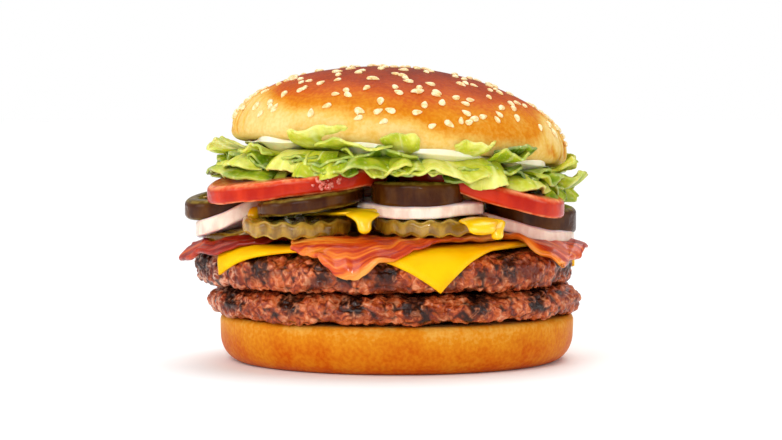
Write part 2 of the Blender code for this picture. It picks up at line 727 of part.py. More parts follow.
def main():
    for obj in list(bpy.data.objects):
        bpy.data.objects.remove(obj)
    burger = new_collection("double_cheeseburger")
    cutters = new_collection("cutters")
    bread = material("bun_crust", (0.62, 0.27, 0.06), 0.45)
    beef = material("grilled_beef", (0.17, 0.055, 0.03), 0.5)
    cheddar = material("processed_cheese", (0.90, 0.47, 0.01), 0.4)
    rasher = material("fried_bacon", (0.50, 0.10, 0.03), 0.4)
    gherkin = material("pickle", (0.25, 0.20, 0.03), 0.25)
    pepper = material("pickled_jalapeno", (0.12, 0.08, 0.02), 0.25)
    white_onion = material("raw_onion", (0.80, 0.70, 0.64), 0.35)
    ripe = material("ripe_tomato", (0.72, 0.04, 0.02), 0.25)
    yellow = material("yellow_mustard", (0.90, 0.50, 0.0), 0.3)
    cream = material("mayonnaise", (0.85, 0.80, 0.66), 0.3)
    leaf = material("green_lettuce", (0.28, 0.45, 0.05), 0.4)

    heel_bun(bread, burger)
    patty("patty_lower", LOWER_PATTY_Z, LOWER_PATTY_THICKNESS, LOWER_PATTY_X, 2, beef, burger)
    patty("patty_upper", UPPER_PATTY_Z, UPPER_PATTY_THICKNESS, UPPER_PATTY_X, 14, beef, burger)

    deck = Relief(0.0)
    pile = Relief(DECK_Z)
    pile.add(cheese(cheddar, burger, deck))
    pile.add(bacon("bacon_left", LEFT_RASHER, 4, rasher, burger, deck))
    pile.add(bacon("bacon_middle", MIDDLE_RASHER, 5, rasher, burger, deck))
    pile.add(bacon("bacon_right", RIGHT_RASHER, 3, rasher, burger, deck))

    pickle("pickle_back", (-0.0100, 0.0340), 0.0155, 30, gherkin, burger, cutters, pile)
    pickle("pickle_back_right", (0.0290, 0.0250), 0.0155, 80, gherkin, burger, cutters, pile)
    pickle("pickle_back_left", (-0.0430, 0.0200), 0.0145, 60, gherkin, burger, cutters, pile)
    pickle("pickle_centre", (-0.0060, -0.0020), 0.0145, 10, gherkin, burger, cutters, pile)
    pickle("pickle_front_left", (-0.0310, -0.0370), 0.0172, 4, gherkin, burger, cutters, pile)
    pickle("pickle_front_right", (0.0100, -0.0365), 0.0178, -6, gherkin, burger, cutters, pile)
    runs = lobes([(-146, 8, 0.0110), (-100, 13, 0.0130), (-60, 11, 0.0140), (70, 30, 0.0040)])
    limp_slice("mustard", (-0.0060, -0.0030), lambda heading: MUSTARD_RADIUS + runs(heading), SAUCE_THICKNESS,
               0.00002, yellow, burger, pile, FINE_FILM, 34, clearance=MUSTARD_CLEARANCE)

    for name, place, radius, sag in (
            ("onion_left", (-0.0490, -0.0150), 0.0150, 0.00001),
            ("onion_middle", (0.0070, -0.0330), 0.0198, 0.00001),
            ("onion_right", (0.0406, -0.0090), 0.0180, 0.00001),
            ("onion_back", (-0.0060, 0.0130), 0.0225, 0.000008)):
        outline = rounded(radius, place[0] * 60)
        limp_slice(name, place, outline, ONION_THICKNESS, sag, white_onion, burger, pile,
                   clearance=ONION_CLEARANCE)

    ring = ring_edge(0.0145, JALAPENO_THICKNESS, JALAPENO_ROUNDING, 0.0105, 0.0014)
    jalapeno("jalapeno_left", (-0.0530, -0.0095), (5, -6), ring, pepper, burger, pile)
    for name, place, radius, lean in (
            ("jalapeno_right", (0.0425, -0.0100), 0.0148, (3, 4)),
            ("jalapeno_front_left", (-0.0262, -0.0385), 0.0164, (0, -6)),
            ("jalapeno_front_right", (0.0060, -0.0385), 0.0140, (0, 0))):
        edge = slice_edge(radius, JALAPENO_THICKNESS, JALAPENO_ROUNDING)
        jalapeno(name, place, lean, edge, pepper, burger, pile)

    for name, place, radius in (
            ("tomato_left", (-0.0305, -0.0240), 0.0275),
            ("tomato_right", (0.0262, -0.0220), 0.0258),
            ("tomato_back", (0.0000, 0.0255), 0.0215)):
        outline = rounded(radius, place[0] * 60)
        limp_slice(name, place, outline, TOMATO_THICKNESS, TOMATO_SAG, ripe, burger, pile,
                   clearance=TOMATO_CLEARANCE)

    lettuce(leaf, burger, pile)
    mayonnaise(cream, burger)
    crown_bun(bread, burger)
    bpy.data.collections.remove(cutters)


main()
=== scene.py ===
"""The looks of a double cheeseburger: every layer as its own detailed piece, in a plain pale studio.

Shapes are worked out in millimetres as whole numpy arrays and turned to metres when a mesh is made.
The front of the burger faces -Y and +Z is up, as in the frame.
"""

import functools
import logging
import math
from dataclasses import dataclass, replace
from enum import Enum
from typing import Callable

import bpy
import numpy as np
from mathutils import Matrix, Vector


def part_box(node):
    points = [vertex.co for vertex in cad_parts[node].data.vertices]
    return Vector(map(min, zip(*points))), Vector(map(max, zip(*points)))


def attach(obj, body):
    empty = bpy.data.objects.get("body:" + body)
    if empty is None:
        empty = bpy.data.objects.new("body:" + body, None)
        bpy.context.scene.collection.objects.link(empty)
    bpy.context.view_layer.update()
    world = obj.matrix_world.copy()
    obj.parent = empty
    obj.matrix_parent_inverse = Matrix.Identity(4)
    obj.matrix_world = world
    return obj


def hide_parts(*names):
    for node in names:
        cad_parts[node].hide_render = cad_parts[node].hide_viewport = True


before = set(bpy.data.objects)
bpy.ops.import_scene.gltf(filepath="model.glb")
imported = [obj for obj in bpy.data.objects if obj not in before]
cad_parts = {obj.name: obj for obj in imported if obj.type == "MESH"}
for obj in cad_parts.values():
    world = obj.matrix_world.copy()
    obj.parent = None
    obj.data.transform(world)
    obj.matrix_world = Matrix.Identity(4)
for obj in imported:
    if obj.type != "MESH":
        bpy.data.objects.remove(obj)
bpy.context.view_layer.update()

Array = np.ndarray
Field = Callable[[Array, Array], Array]
Piece = bpy.types.Object
Tree = bpy.types.NodeTree
Socket = bpy.types.NodeSocket
Adder = Callable[..., Socket]
Stops = tuple[tuple[float, str], ...]

MM = 0.001
PER_MM = 1 / MM
LOG = logging.getLogger("burger")


class Slot(Enum):
    """The material slots."""

    BUN = "bun"
    BEEF = "beef"
    CHEESE = "cheese"
    BACON = "bacon"
    PICKLE = "pickle"
    MUSTARD = "mustard"
    ONION = "onion"
    JALAPENO = "jalapeno"
    TOMATO = "tomato"
    LETTUCE = "lettuce"
    MAYONNAISE = "mayonnaise"


# Noise


def lattice(cell: Array, seed: float) -> Array:
    """Gives a fixed random number from 0 to 1 to each whole point: the fraction of a large sine.

    Args:
        cell: Whole-number points, (..., 3).
        seed: Shifts the pattern.

    Returns:
        One number for each point.
    """
    mixed = np.sin(cell @ np.array([12.9898, 78.233, 37.719]) + 4.137 * seed) * 43758.5453
    return mixed - np.floor(mixed)


def noise(points: Array, size: float, seed: float = 0.0) -> Array:
    """Value noise: the lattice numbers at the eight corners round each point, blended smoothly.

    Args:
        points: Points in mm, (..., 3).
        size: The width of one bump in mm.
        seed: Shifts the pattern.

    Returns:
        Numbers from -1 to 1.
    """
    scaled = points / size + 0.37
    base = np.floor(scaled)
    part = scaled - base
    part = part * part * (3 - 2 * part)
    total = np.zeros(points.shape[:-1])
    for corner in np.ndindex(2, 2, 2):
        weight = np.prod(np.where(np.array(corner) == 1, part, 1 - part), axis=-1)
        total += weight * lattice(base + corner, seed)
    return 2 * total - 1


def fractal(points: Array, size: float, octaves: int, seed: float = 0.0) -> Array:
    """Sums noise of halving size and halving strength.

    Args:
        points: Points in mm, (..., 3).
        size: The widest bump in mm.
        octaves: How many sizes.
        seed: Shifts the pattern.

    Returns:
        Numbers from about -1 to 1.
    """
    total = sum(noise(points, size / 2 ** k, seed + 7 * k) / 2 ** k for k in range(octaves))
    return total / (2 - 2 ** (1 - octaves))


def grains(points: Array, size: float, seed: float = 0.0) -> Array:
    """Measures how far each point is from the nearest of one random centre in each cell.

    Args:
        points: Points in mm, (..., 3).
        size: The mean width of a grain in mm.
        seed: Shifts the pattern.

    Returns:
        Distances in grain widths: 0 at a centre, about 0.7 in the cracks.
    """
    scaled = points / size
    base = np.floor(scaled)
    nearest = np.full(points.shape[:-1], 9.0)
    for step in np.ndindex(3, 3, 3):
        cell = base + np.array(step) - 1
        centre = cell + np.stack([lattice(cell, seed + k) for k in (1, 2, 3)], axis=-1)
        nearest = np.minimum(nearest, np.linalg.norm(scaled - centre, axis=-1))
    return nearest


def ease(value: Array, low: float, high: float) -> Array:
    """Rises smoothly from 0 at low to 1 at high."""
    share = np.clip((value - low) / (high - low), 0, 1)
    return share * share * (3 - 2 * share)


# Meshes


def filled_mesh(name: str, points: Array, quads: Array, fans: Array, values: dict[str, Array]) -> Piece:
    """Makes an object of whole arrays, turned inside out first if its volume is negative.

    Args:
        name: The piece's name.
        points: Corner points in mm, (n, 3).
        quads: Four-cornered faces, (m, 4).
        fans: Three-cornered faces, (k, 3).
        values: Named numbers, one for each point, which the finishes read as attributes.

    Returns:
        The object, shaded smooth.
    """
    corners = np.concatenate([fans, quads[:, [0, 1, 2]], quads[:, [0, 2, 3]]])
    a, b, c = (points[corners[:, k]] for k in range(3))
    if np.einsum("ij,ij->i", a, np.cross(b, c)).sum() < 0:
        quads, fans = quads[:, ::-1], fans[:, ::-1]
    mesh = bpy.data.meshes.new(name)
    mesh.vertices.add(len(points))
    mesh.vertices.foreach_set("co", (points * MM).astype(np.float32).ravel())
    loops = np.concatenate([quads.ravel(), fans.ravel()]).astype(np.int32)
    mesh.loops.add(len(loops))
    mesh.loops.foreach_set("vertex_index", loops)
    mesh.polygons.add(len(quads) + len(fans))
    starts = np.concatenate([4 * np.arange(len(quads)), 4 * len(quads) + 3 * np.arange(len(fans))])
    mesh.polygons.foreach_set("loop_start", starts.astype(np.int32))
    mesh.update(calc_edges=True)
    mesh.validate()
    mesh.shade_smooth()
    for key, numbers in values.items():
        layer = mesh.attributes.new(key, "FLOAT", "POINT")
        layer.data.foreach_set("value", numbers.astype(np.float32).ravel())
    made = bpy.data.objects.new(name, mesh)
    bpy.context.scene.collection.objects.link(made)
    return made


def ringed(name: str, rings: Array, poles: Array, **values: Array) -> Piece:
    """Closed skins: faces join each ring of points to the next, and fans join the end rings to the poles.

    Args:
        name: The piece's name.
        rings: Points in mm, (pieces, rows, columns, 3).
        poles: The first and last point of each skin, (pieces, 2, 3).
        **values: Named numbers for the ring points, (pieces, rows, columns); a pole takes its ring's mean.

    Returns:
        One object with all the skins.
    """
    pieces, rows, columns = rings.shape[:3]
    size = rows * columns + 2
    points = np.concatenate([rings.reshape(pieces, -1, 3), poles], axis=1).reshape(-1, 3)
    at = np.arange(rows * columns).reshape(rows, columns)
    ahead = np.roll(at, -1, axis=1)
    quads = np.stack([at[:-1], at[1:], ahead[1:], ahead[:-1]], axis=-1).reshape(-1, 4)
    first = np.stack([np.full(columns, size - 2), at[0], ahead[0]], axis=-1)
    last = np.stack([np.full(columns, size - 1), ahead[-1], at[-1]], axis=-1)
    shift = size * np.arange(pieces)[:, None, None]
    quads = (quads + shift).reshape(-1, 4)
    fans = (np.concatenate([first, last]) + shift).reshape(-1, 3)
    whole = {}
    for key, numbers in values.items():
        ends = numbers[:, [0, -1]].mean(axis=2)
        whole[key] = np.concatenate([numbers.reshape(pieces, -1), ends], axis=1)
    return filled_mesh(name, points, quads, fans, whole)


def sheeted(name: str, middle: Array, thickness: Array, **values: Array) -> Piece:
    """Closed sheets: each middle surface moved half its thickness both ways along its normal, and rimmed.

    Args:
        name: The piece's name.
        middle: Points in mm, (pieces, rows, columns, 3).
        thickness: In mm, (pieces, rows, columns).
        **values: Named numbers, (pieces, rows, columns), the same on both sides.

    Returns:
        One object with all the sheets.
    """
    pieces, rows, columns = middle.shape[:3]
    normal = np.cross(np.gradient(middle, axis=1), np.gradient(middle, axis=2))
    normal /= np.maximum(np.linalg.norm(normal, axis=-1, keepdims=True), 1e-9)
    half = normal * thickness[..., None] / 2
    size = rows * columns
    sides = [(middle + half).reshape(pieces, size, 3), (middle - half).reshape(pieces, size, 3)]
    points = np.concatenate(sides, axis=1).reshape(-1, 3)
    at = np.arange(size).reshape(rows, columns)
    upper = np.stack([at[:-1, :-1], at[1:, :-1], at[1:, 1:], at[:-1, 1:]], axis=-1).reshape(-1, 4)
    rim = np.concatenate([at[:-1, 0], at[-1, :-1], at[:0:-1, -1], at[0, :0:-1]])
    after = np.roll(rim, -1)
    wall = np.stack([rim, rim + size, after + size, after], axis=-1)
    quads = np.concatenate([upper, upper[:, ::-1] + size, wall])
    quads = (quads + 2 * size * np.arange(pieces)[:, None, None]).reshape(-1, 4)
    whole = {key: np.tile(numbers.reshape(pieces, size), (1, 2)) for key, numbers in values.items()}
    return filled_mesh(name, points, quads, np.empty((0, 3), int), whole)


def resampled(points: list[tuple[float, float]] | Array, count: int) -> Array:
    """Spreads points evenly along the line through the given ones, by its running length.

    Args:
        points: The line's points, (n, 2).
        count: How many points to give back.

    Returns:
        The new points, (count, 2).
    """
    line = np.asarray(points, float)
    run = np.concatenate([[0.0], np.cumsum(np.linalg.norm(np.diff(line, axis=0), axis=1))])
    even = np.linspace(0, run[-1], count)
    return np.stack([np.interp(even, run, line[:, 0]), np.interp(even, run, line[:, 1])], axis=-1)


def arc(centre: tuple[float, float], radii: tuple[float, float], start: float, end: float) -> list:
    """Points of an elliptical arc, from the start to the end angle in degrees."""
    angles = np.radians(np.linspace(start, end, 14))
    return [(centre[0] + radii[0] * math.cos(a), centre[1] + radii[1] * math.sin(a)) for a in angles]


def headings(columns: int) -> Array:
    """Even headings round the full turn, in radians from +X."""
    return np.arange(columns) * 2 * math.pi / columns


def lathed(profile: Array, columns: int) -> tuple[Array, Array]:
    """Turns a profile about Z: x becomes the reach along every heading.

    Args:
        profile: (rows + 2, 2) points of reach and height, from the axis down the outer side to the axis.
        columns: How many headings.

    Returns:
        Rings (1, rows, columns, 3) and poles (1, 2, 3).
    """
    turn = headings(columns)
    reach, height = profile[1:-1, 0, None], profile[1:-1, 1, None]
    rings = np.stack([reach * np.cos(turn), reach * np.sin(turn), height + 0 * turn], axis=-1)
    poles = np.array([[0, 0, profile[0, 1]], [0, 0, profile[-1, 1]]])
    return rings[None], poles[None]


def disc_profile(radius: float, half: float, rounding: float, rows: int) -> Array:
    """The profile of a round slice with rounded edges, closer together towards the rim."""
    rim = arc((radius - rounding, half - rounding), (rounding, rounding), 90, 0)
    rim += arc((radius - rounding, rounding - half), (rounding, rounding), 0, -90)
    rim = resampled(rim, rows // 2)
    inner = np.linspace(0, 1, rows // 4, endpoint=False) ** 0.7 * rim[0, 0]
    top = np.stack([inner, np.full_like(inner, half)], axis=-1)
    return np.concatenate([top, rim, top[::-1] * [1, -1]])


def relieved(obj: Piece, depth: Callable[[Array], Array]) -> Piece:
    """Moves every point of a piece along its normal.

    Args:
        obj: The piece.
        depth: Gives how far in mm, for points in mm (n, 3).

    Returns:
        The piece.
    """
    count = len(obj.data.vertices)
    points = np.empty(3 * count, np.float32)
    normals = np.empty(3 * count, np.float32)
    obj.data.vertices.foreach_get("co", points)
    obj.data.vertex_normals.foreach_get("vector", normals)
    points = points.reshape(-1, 3).astype(float) / MM
    points += normals.reshape(-1, 3) * depth(points)[:, None]
    obj.data.vertices.foreach_set("co", (points * MM).astype(np.float32).ravel())
    obj.data.update()
    return obj


# The frame


def node_points(node: str) -> Array:
    """The corner points of a CAD node or a piece in mm, (n, 3)."""
    mesh = bpy.data.objects[node].data
    points = np.empty(3 * len(mesh.vertices), np.float32)
    mesh.vertices.foreach_get("co", points)
    return points.reshape(-1, 3).astype(float) / MM


def powers(x: Array, y: Array, degree: int) -> Array:
    """The products of powers of x and y up to a degree, on a last axis of their own."""
    x, y = x / 30, y / 30
    return np.stack([x ** i * y ** j for i in range(degree + 1) for j in range(degree + 1 - i)], axis=-1)


def mid_height(node: str, degree: int, within: float = 90.0) -> Field:
    """The height of a slice's middle: the polynomial of x and y that fits its node's points best.

    Args:
        node: The CAD node.
        degree: The polynomial's degree.
        within: Only points this near the axis count, in mm.

    Returns:
        A function of x and y in mm, which gives a height in mm.
    """
    points = node_points(node)
    points = points[np.hypot(points[:, 0], points[:, 1]) < within]
    terms = powers(points[:, 0], points[:, 1], degree)
    shares = np.linalg.lstsq(terms, points[:, 2], rcond=None)[0]
    return lambda x, y: powers(x, y, degree) @ shares


def node_disc(node: str) -> tuple[float, float, float]:
    """A round slice's middle in x and y and its mean radius, in mm, from its node's box."""
    low, high = (np.array(corner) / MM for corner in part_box(node))
    middle = (low + high) / 2
    return middle[0], middle[1], (high - low)[:2].mean() / 2


# Finishes


def linear(hex_colour: str) -> tuple[float, float, float, float]:
    """Turns an sRGB hex colour such as #AABBCC to linear red, green, blue and alpha."""
    parts = [int(hex_colour[k:k + 2], 16) / 255 for k in (1, 3, 5)]
    return (*[p / 12.92 if p <= 0.04045 else ((p + 0.055) / 1.055) ** 2.4 for p in parts], 1.0)


class Node(Enum):
    """The shader nodes in use: type, properties, inputs in order with their usual values, and output."""

    PLACE = ("TexCoord", {}, {}, "Object")
    OWN = ("Attribute", {}, {}, "Fac")
    CAMERA_RAY = ("LightPath", {}, {}, "Is Camera Ray")
    STRETCHED = ("Mapping", {}, {"Vector": None, "Scale": None}, "Vector")
    ACROSS = ("SeparateXYZ", {}, {"Vector": None}, "X")
    FLAT = ("CombineXYZ", {}, {"X": None, "Y": None}, "Vector")
    NOISE = ("TexNoise", {}, {"Vector": None, "Scale": None, "Detail": 3.0, "Distortion": 0.0}, "Fac")
    RANGE = ("MapRange", {"interpolation_type": "SMOOTHSTEP"},
             {"Value": None, "From Min": None, "From Max": None, "To Min": 0.0, "To Max": 1.0}, "Result")
    ADD = ("Math", {"operation": "ADD"}, {0: None, 1: None}, 0)
    SUBTRACT = ("Math", {"operation": "SUBTRACT"}, {0: None, 1: None}, 0)
    MULTIPLY = ("Math", {"operation": "MULTIPLY"}, {0: None, 1: None}, 0)
    COSINE = ("Math", {"operation": "COSINE"}, {0: None}, 0)
    MIX = ("Mix", {"data_type": "RGBA"}, {0: None, 6: None, 7: None}, 2)
    RAMP = ("ValToRGB", {}, {"Fac": None}, "Color")
    BUMP = ("Bump", {}, {"Height": None, "Strength": 1.0, "Distance": MM}, "Normal")


def fill(tree: Tree, node: bpy.types.Node, inputs: dict) -> None:
    """Links or sets a node's inputs.

    Args:
        tree: The node's tree.
        node: The node.
        inputs: By name or place, what each gets: a socket, a number, a hex colour, or None to leave it.
    """
    for key, value in inputs.items():
        if isinstance(value, Socket):
            tree.links.new(value, node.inputs[key])
        elif value is not None:
            node.inputs[key].default_value = linear(value) if isinstance(value, str) else value


def add_node(tree: Tree, node: Node, *values: object, stops: Stops = (), **settings: object) -> Socket:
    """Adds a shader node.

    Args:
        tree: The node tree.
        node: Which node.
        *values: What its inputs get, in the order that Node lists them.
        stops: For a colour ramp, the place and hex colour of each stop.
        **settings: Properties beyond the ones that Node lists.

    Returns:
        The node's output.
    """
    kind, fixed, inputs, output = node.value
    made = tree.nodes.new("ShaderNode" + kind)
    for key, setting in {**fixed, **settings}.items():
        setattr(made, key, setting)
    fill(tree, made, {**inputs, **dict(zip(inputs, values))})
    if stops:
        ramp = made.color_ramp.elements
        while len(ramp) < len(stops):
            ramp.new(1.0)
        for element, (place, colour) in zip(ramp, stops):
            element.position = place
            element.color = linear(colour)
    return made.outputs[output]


def patchy(add: Adder, place: Socket, size: float, *span: float, detail: float = 3.0) -> Socket:
    """Soft patches of a size in mm: noise whose middle values are stretched to a span."""
    return add(Node.RANGE, add(Node.NOISE, place, PER_MM / size, detail), *(span or (0.35, 0.65)))


@dataclass(frozen=True)
class Finish:
    """What all finishes share.

    sink is the share of light that sinks in and spreads, sink_mm how far, and coat a wet film on top.
    """

    name: str
    roughness: float = 0.4
    ior: float = 1.45
    sink: float = 0.0
    sink_mm: float = 1.0
    coat: float = 0.0
    coat_roughness: float = 0.1
    shine: float = 0.5

    def colour(self, add: Adder, place: Socket) -> Socket:
        """The colour at each place."""
        raise NotImplementedError

    def height(self, add: Adder, place: Socket) -> Socket:
        """The fine relief in mm."""
        raise NotImplementedError

    def gloss(self, add: Adder, place: Socket) -> float | Socket:
        """The roughness: a number, or a socket."""
        return self.roughness

    @functools.cache
    def make(self) -> bpy.types.Material:
        """Builds the material once.

        Returns:
            The material, with a Principled shader.
        """
        made = bpy.data.materials.new(self.name)
        made.use_nodes = True
        tree = made.node_tree
        add = functools.partial(add_node, tree)
        place = add(Node.PLACE)
        fill(tree, tree.nodes["Principled BSDF"], {
            "Base Color": self.colour(add, place),
            "Roughness": self.gloss(add, place),
            "IOR": self.ior,
            "Specular IOR Level": self.shine,
            "Subsurface Weight": self.sink,
            "Subsurface Scale": self.sink_mm * MM,
            "Coat Weight": self.coat,
            "Coat Roughness": self.coat_roughness,
            "Normal": add(Node.BUMP, self.height(add, place)),
        })
        return made


@dataclass(frozen=True)
class Crust(Finish):
    """Soft bun crust with an egg glaze: satin, deep orange-brown where it baked most and cream at the cut."""

    def colour(self, add: Adder, place: Socket) -> Socket:
        """From cream to orange-brown with the baking, patchy over 12 mm and dotted over 1.2 mm.

        Args:
            add: Adds a node to the material.
            place: Where each point lies.

        Returns:
            The colour.
        """
        patches = patchy(add, place, 12, 0.3, 0.7, -0.06, 0.06)
        dots = patchy(add, place, 1.2, 0.3, 0.7, -0.05, 0.05)
        bake = add(Node.ADD, add(Node.ADD, add(Node.OWN, attribute_name="bake"), patches), dots)
        stops = ((0.0, "#EBCD88"), (0.2, "#E0B254"), (0.42, "#D38216"), (0.62, "#C05406"), (0.82, "#A03604"),
                 (1.0, "#7A2404"))
        return add(Node.RAMP, bake, stops=stops)

    def height(self, add: Adder, place: Socket) -> Socket:
        """A fine skin: low upright wrinkles 1.6 mm apart, and pores 0.7 mm wide.

        Args:
            add: Adds a node to the material.
            place: Where each point lies.

        Returns:
            The relief in mm.
        """
        upright = add(Node.STRETCHED, place, (1.0, 1.0, 0.16))
        wrinkles = add(Node.MULTIPLY, add(Node.NOISE, upright, PER_MM / 1.6), 0.10)
        pores = add(Node.MULTIPLY, add(Node.NOISE, place, PER_MM / 0.7), 0.10)
        return add(Node.ADD, wrinkles, pores)


@dataclass(frozen=True)
class Beef(Finish):
    """Coarse ground beef off the grill: brown crust over pinkish strands, char bars, and a film of fat.

    bar_pitch and bar_wobble are in mm and bar_shift in radians; browned is the share of dark crust. A painted
    highlight, pale streaks of fat, shows from fat_from's first place along X, in mm, to its second,
    where it is strongest.
    """

    bar_pitch: float = 19.0
    bar_wobble: float = 9.0
    bar_shift: float = 3.0
    bar_share: float = 0.95
    browned: float = 0.35
    fat_from: tuple[float, float] = (-44.0, -57.0)

    def colour(self, add: Adder, place: Socket) -> Socket:
        """Red-brown and tan strands 2.6 mm wide, a painted highlight of pale fat at the left end, black at the bars,
        and painted shade in the cracks.

        Args:
            add: Adds a node to the material.
            place: Where each point lies.

        Returns:
            The colour.
        """
        strands = add(Node.NOISE, place, PER_MM / 2.6, 3.0, 1.2)
        stops = ((0.28, "#571705"), (0.42, "#963814"), (0.54, "#C25E2C"), (0.70, "#DE946A"))
        body = add(Node.RAMP, strands, stops=stops)
        patches = patchy(add, place, 7, 0.42, 0.62)
        body = add(Node.MIX, add(Node.MULTIPLY, patches, self.browned), body, "#5C1C0A")
        across = add(Node.ACROSS, place)
        # Painted highlight: pale streaks of fat only at the left end, where the side light catches them.
        left_end = add(Node.RANGE, across, *(edge * MM for edge in self.fat_from))
        greasy = add(Node.MULTIPLY, left_end, add(Node.RANGE, strands, 0.48, 0.6))
        body = add(Node.MIX, add(Node.MULTIPLY, greasy, 0.5), body, "#DEB49C")
        wobble = add(Node.MULTIPLY, add(Node.NOISE, place, PER_MM / 5), self.bar_wobble * MM)
        turn = add(Node.MULTIPLY, add(Node.ADD, across, wobble), 2 * math.pi / (self.bar_pitch * MM))
        wave = add(Node.COSINE, add(Node.ADD, turn, self.bar_shift))
        bars = add(Node.MULTIPLY, add(Node.RANGE, wave, 0.45, 0.85), add(Node.RANGE, strands, 0.85, 0.45))
        level = add(Node.OWN, attribute_name="level")
        bars = add(Node.MULTIPLY, bars, add(Node.RANGE, level, 0.12, 0.5))
        body = add(Node.MIX, add(Node.MULTIPLY, bars, self.bar_share), body, "#180602")
        # Painted shade: the cracks between the grains are darkened.
        crack = add(Node.OWN, attribute_name="crack")
        return add(Node.MIX, add(Node.MULTIPLY, crack, 0.95), body, "#1C0904")

    def gloss(self, add: Adder, place: Socket) -> Socket:
        """Fat lies in patches 3 mm wide."""
        return patchy(add, place, 3, 0.35, 0.65, 0.22, 0.6)

    def height(self, add: Adder, place: Socket) -> Socket:
        """Strands 2.2 mm wide, and crumbs 0.8 mm wide.

        Args:
            add: Adds a node to the material.
            place: Where each point lies.

        Returns:
            The relief in mm.
        """
        strands = add(Node.MULTIPLY, add(Node.NOISE, place, PER_MM / 2.2, 2.0, 1.0), 0.6)
        crumbs = add(Node.MULTIPLY, add(Node.NOISE, place, PER_MM / 0.8, 2.0), 0.10)
        return add(Node.ADD, strands, crumbs)


@dataclass(frozen=True)
class Cheese(Finish):
    """Processed cheese, warm: smooth, satin, slightly see-through, one even strong yellow."""

    def colour(self, add: Adder, place: Socket) -> Socket:
        """A yellow that is a little deeper in patches 15 mm wide."""
        return add(Node.MIX, patchy(add, place, 15), "#FCC200", "#F7AC00")

    def height(self, add: Adder, place: Socket) -> Socket:
        """The faint unevenness of a softened slice."""
        return add(Node.MULTIPLY, add(Node.NOISE, place, PER_MM / 5), 0.12)


@dataclass(frozen=True)
class Bacon(Finish):
    """Fried streaky bacon: dark red lean and orange fat in bands along the rasher, glossy with fat."""

    fatness: float = 0.0

    def flow(self, add: Adder, stretch: float) -> Socket:
        """Places on the flat rasher, with the way along it shrunk, so that patterns stretch along it."""
        along = add(Node.MULTIPLY, add(Node.OWN, attribute_name="along"), stretch)
        return add(Node.FLAT, along, add(Node.OWN, attribute_name="across"))

    def colour(self, add: Adder, place: Socket) -> Socket:
        """Bands 3.2 mm wide from lean to fat, pulled about and frayed by fibres 0.7 mm wide.

        Args:
            add: Adds a node to the material.
            place: Where each point lies.

        Returns:
            The colour.
        """
        flow = self.flow(add, 0.12)
        bands = add(Node.NOISE, flow, PER_MM / 3.2, 3.0, 0.6)
        fibres = add(Node.NOISE, flow, PER_MM / 0.7, 3.0, 0.3)
        frayed = add(Node.MULTIPLY, add(Node.SUBTRACT, fibres, 0.5), 0.28)
        level = add(Node.ADD, add(Node.ADD, bands, frayed), self.fatness)
        stops = ((0.30, "#7E1204"), (0.44, "#B02C0A"), (0.54, "#CE4E10"), (0.64, "#E47C22"), (0.78, "#F2B050"))
        return add(Node.RAMP, level, stops=stops)

    def height(self, add: Adder, place: Socket) -> Socket:
        """Grain along the rasher and small blisters."""
        grain = add(Node.MULTIPLY, add(Node.NOISE, self.flow(add, 0.15), PER_MM / 1.0), 0.30)
        return add(Node.ADD, grain, add(Node.MULTIPLY, add(Node.NOISE, place, PER_MM / 1.8), 0.30))


@dataclass(frozen=True)
class WetSlice(Finish):
    """A slice of fruit or vegetable with a skin round its wall: flesh on its faces, and wet."""

    skin: tuple[str, str] = ("#5A5216", "#7C7424")
    flesh: tuple[str, str] = ("#8C8434", "#A8A050")
    skin_size: float = 3.0
    flesh_size: float = 2.5
    ring_pitch: float = 0.0
    ring_colour: str = "#FFFFFF"
    bumps: float = 0.1

    def colour(self, add: Adder, place: Socket) -> Socket:
        """Skin on the wall, flesh on the faces, and rings round the middle where the food has them.

        Args:
            add: Adds a node to the material.
            place: Where each point lies.

        Returns:
            The colour.
        """
        upright = add(Node.STRETCHED, place, (1.0, 1.0, 0.5))
        skin = add(Node.MIX, patchy(add, upright, self.skin_size), *self.skin)
        flesh = add(Node.MIX, patchy(add, place, self.flesh_size, detail=4.0), *self.flesh)
        if self.ring_pitch:
            turn = add(Node.MULTIPLY, add(Node.OWN, attribute_name="reach"), 2 * math.pi / self.ring_pitch)
            lines = add(Node.RANGE, add(Node.COSINE, turn), 0.6, 1.0, 0.0, 0.6)
            flesh = add(Node.MIX, lines, flesh, self.ring_colour)
        return add(Node.MIX, add(Node.OWN, attribute_name="wall"), flesh, skin)

    def height(self, add: Adder, place: Socket) -> Socket:
        """Soft unevenness over 2 mm."""
        return add(Node.MULTIPLY, add(Node.NOISE, place, PER_MM / 2.0), self.bumps)


@dataclass(frozen=True)
class Leaf(Finish):
    """Fresh lettuce: thin, crisp, lit through; pale midribs at the base and darker green between the veins."""

    def colour(self, add: Adder, place: Socket) -> Socket:
        """Yellow-green to dark green by the leaf's tone, paler along the midrib and veins, with a painted highlight
        at the margin.

        Args:
            add: Adds a node to the material.
            place: Where each point lies.

        Returns:
            The colour.
        """
        patches = patchy(add, place, 6, 0.3, 0.7, -0.22, 0.22)
        tone = add(Node.ADD, add(Node.OWN, attribute_name="tone"), patches)
        stops = ((0.0, "#3E5C0A"), (0.25, "#728E10"), (0.5, "#A4B21A"), (0.75, "#C8CA38"), (1.0, "#E0E070"))
        green = add(Node.RAMP, tone, stops=stops)
        # Pale midrib and veins are the leaf's own colour; the pale line at the margin is a painted highlight.
        return add(Node.MIX, add(Node.MULTIPLY, add(Node.OWN, attribute_name="rib"), 0.75), green, "#EAEDB0")

    def height(self, add: Adder, place: Socket) -> Socket:
        """Crinkles 2 mm wide between the veins."""
        return add(Node.MULTIPLY, add(Node.NOISE, place, PER_MM / 2.2), 0.5)


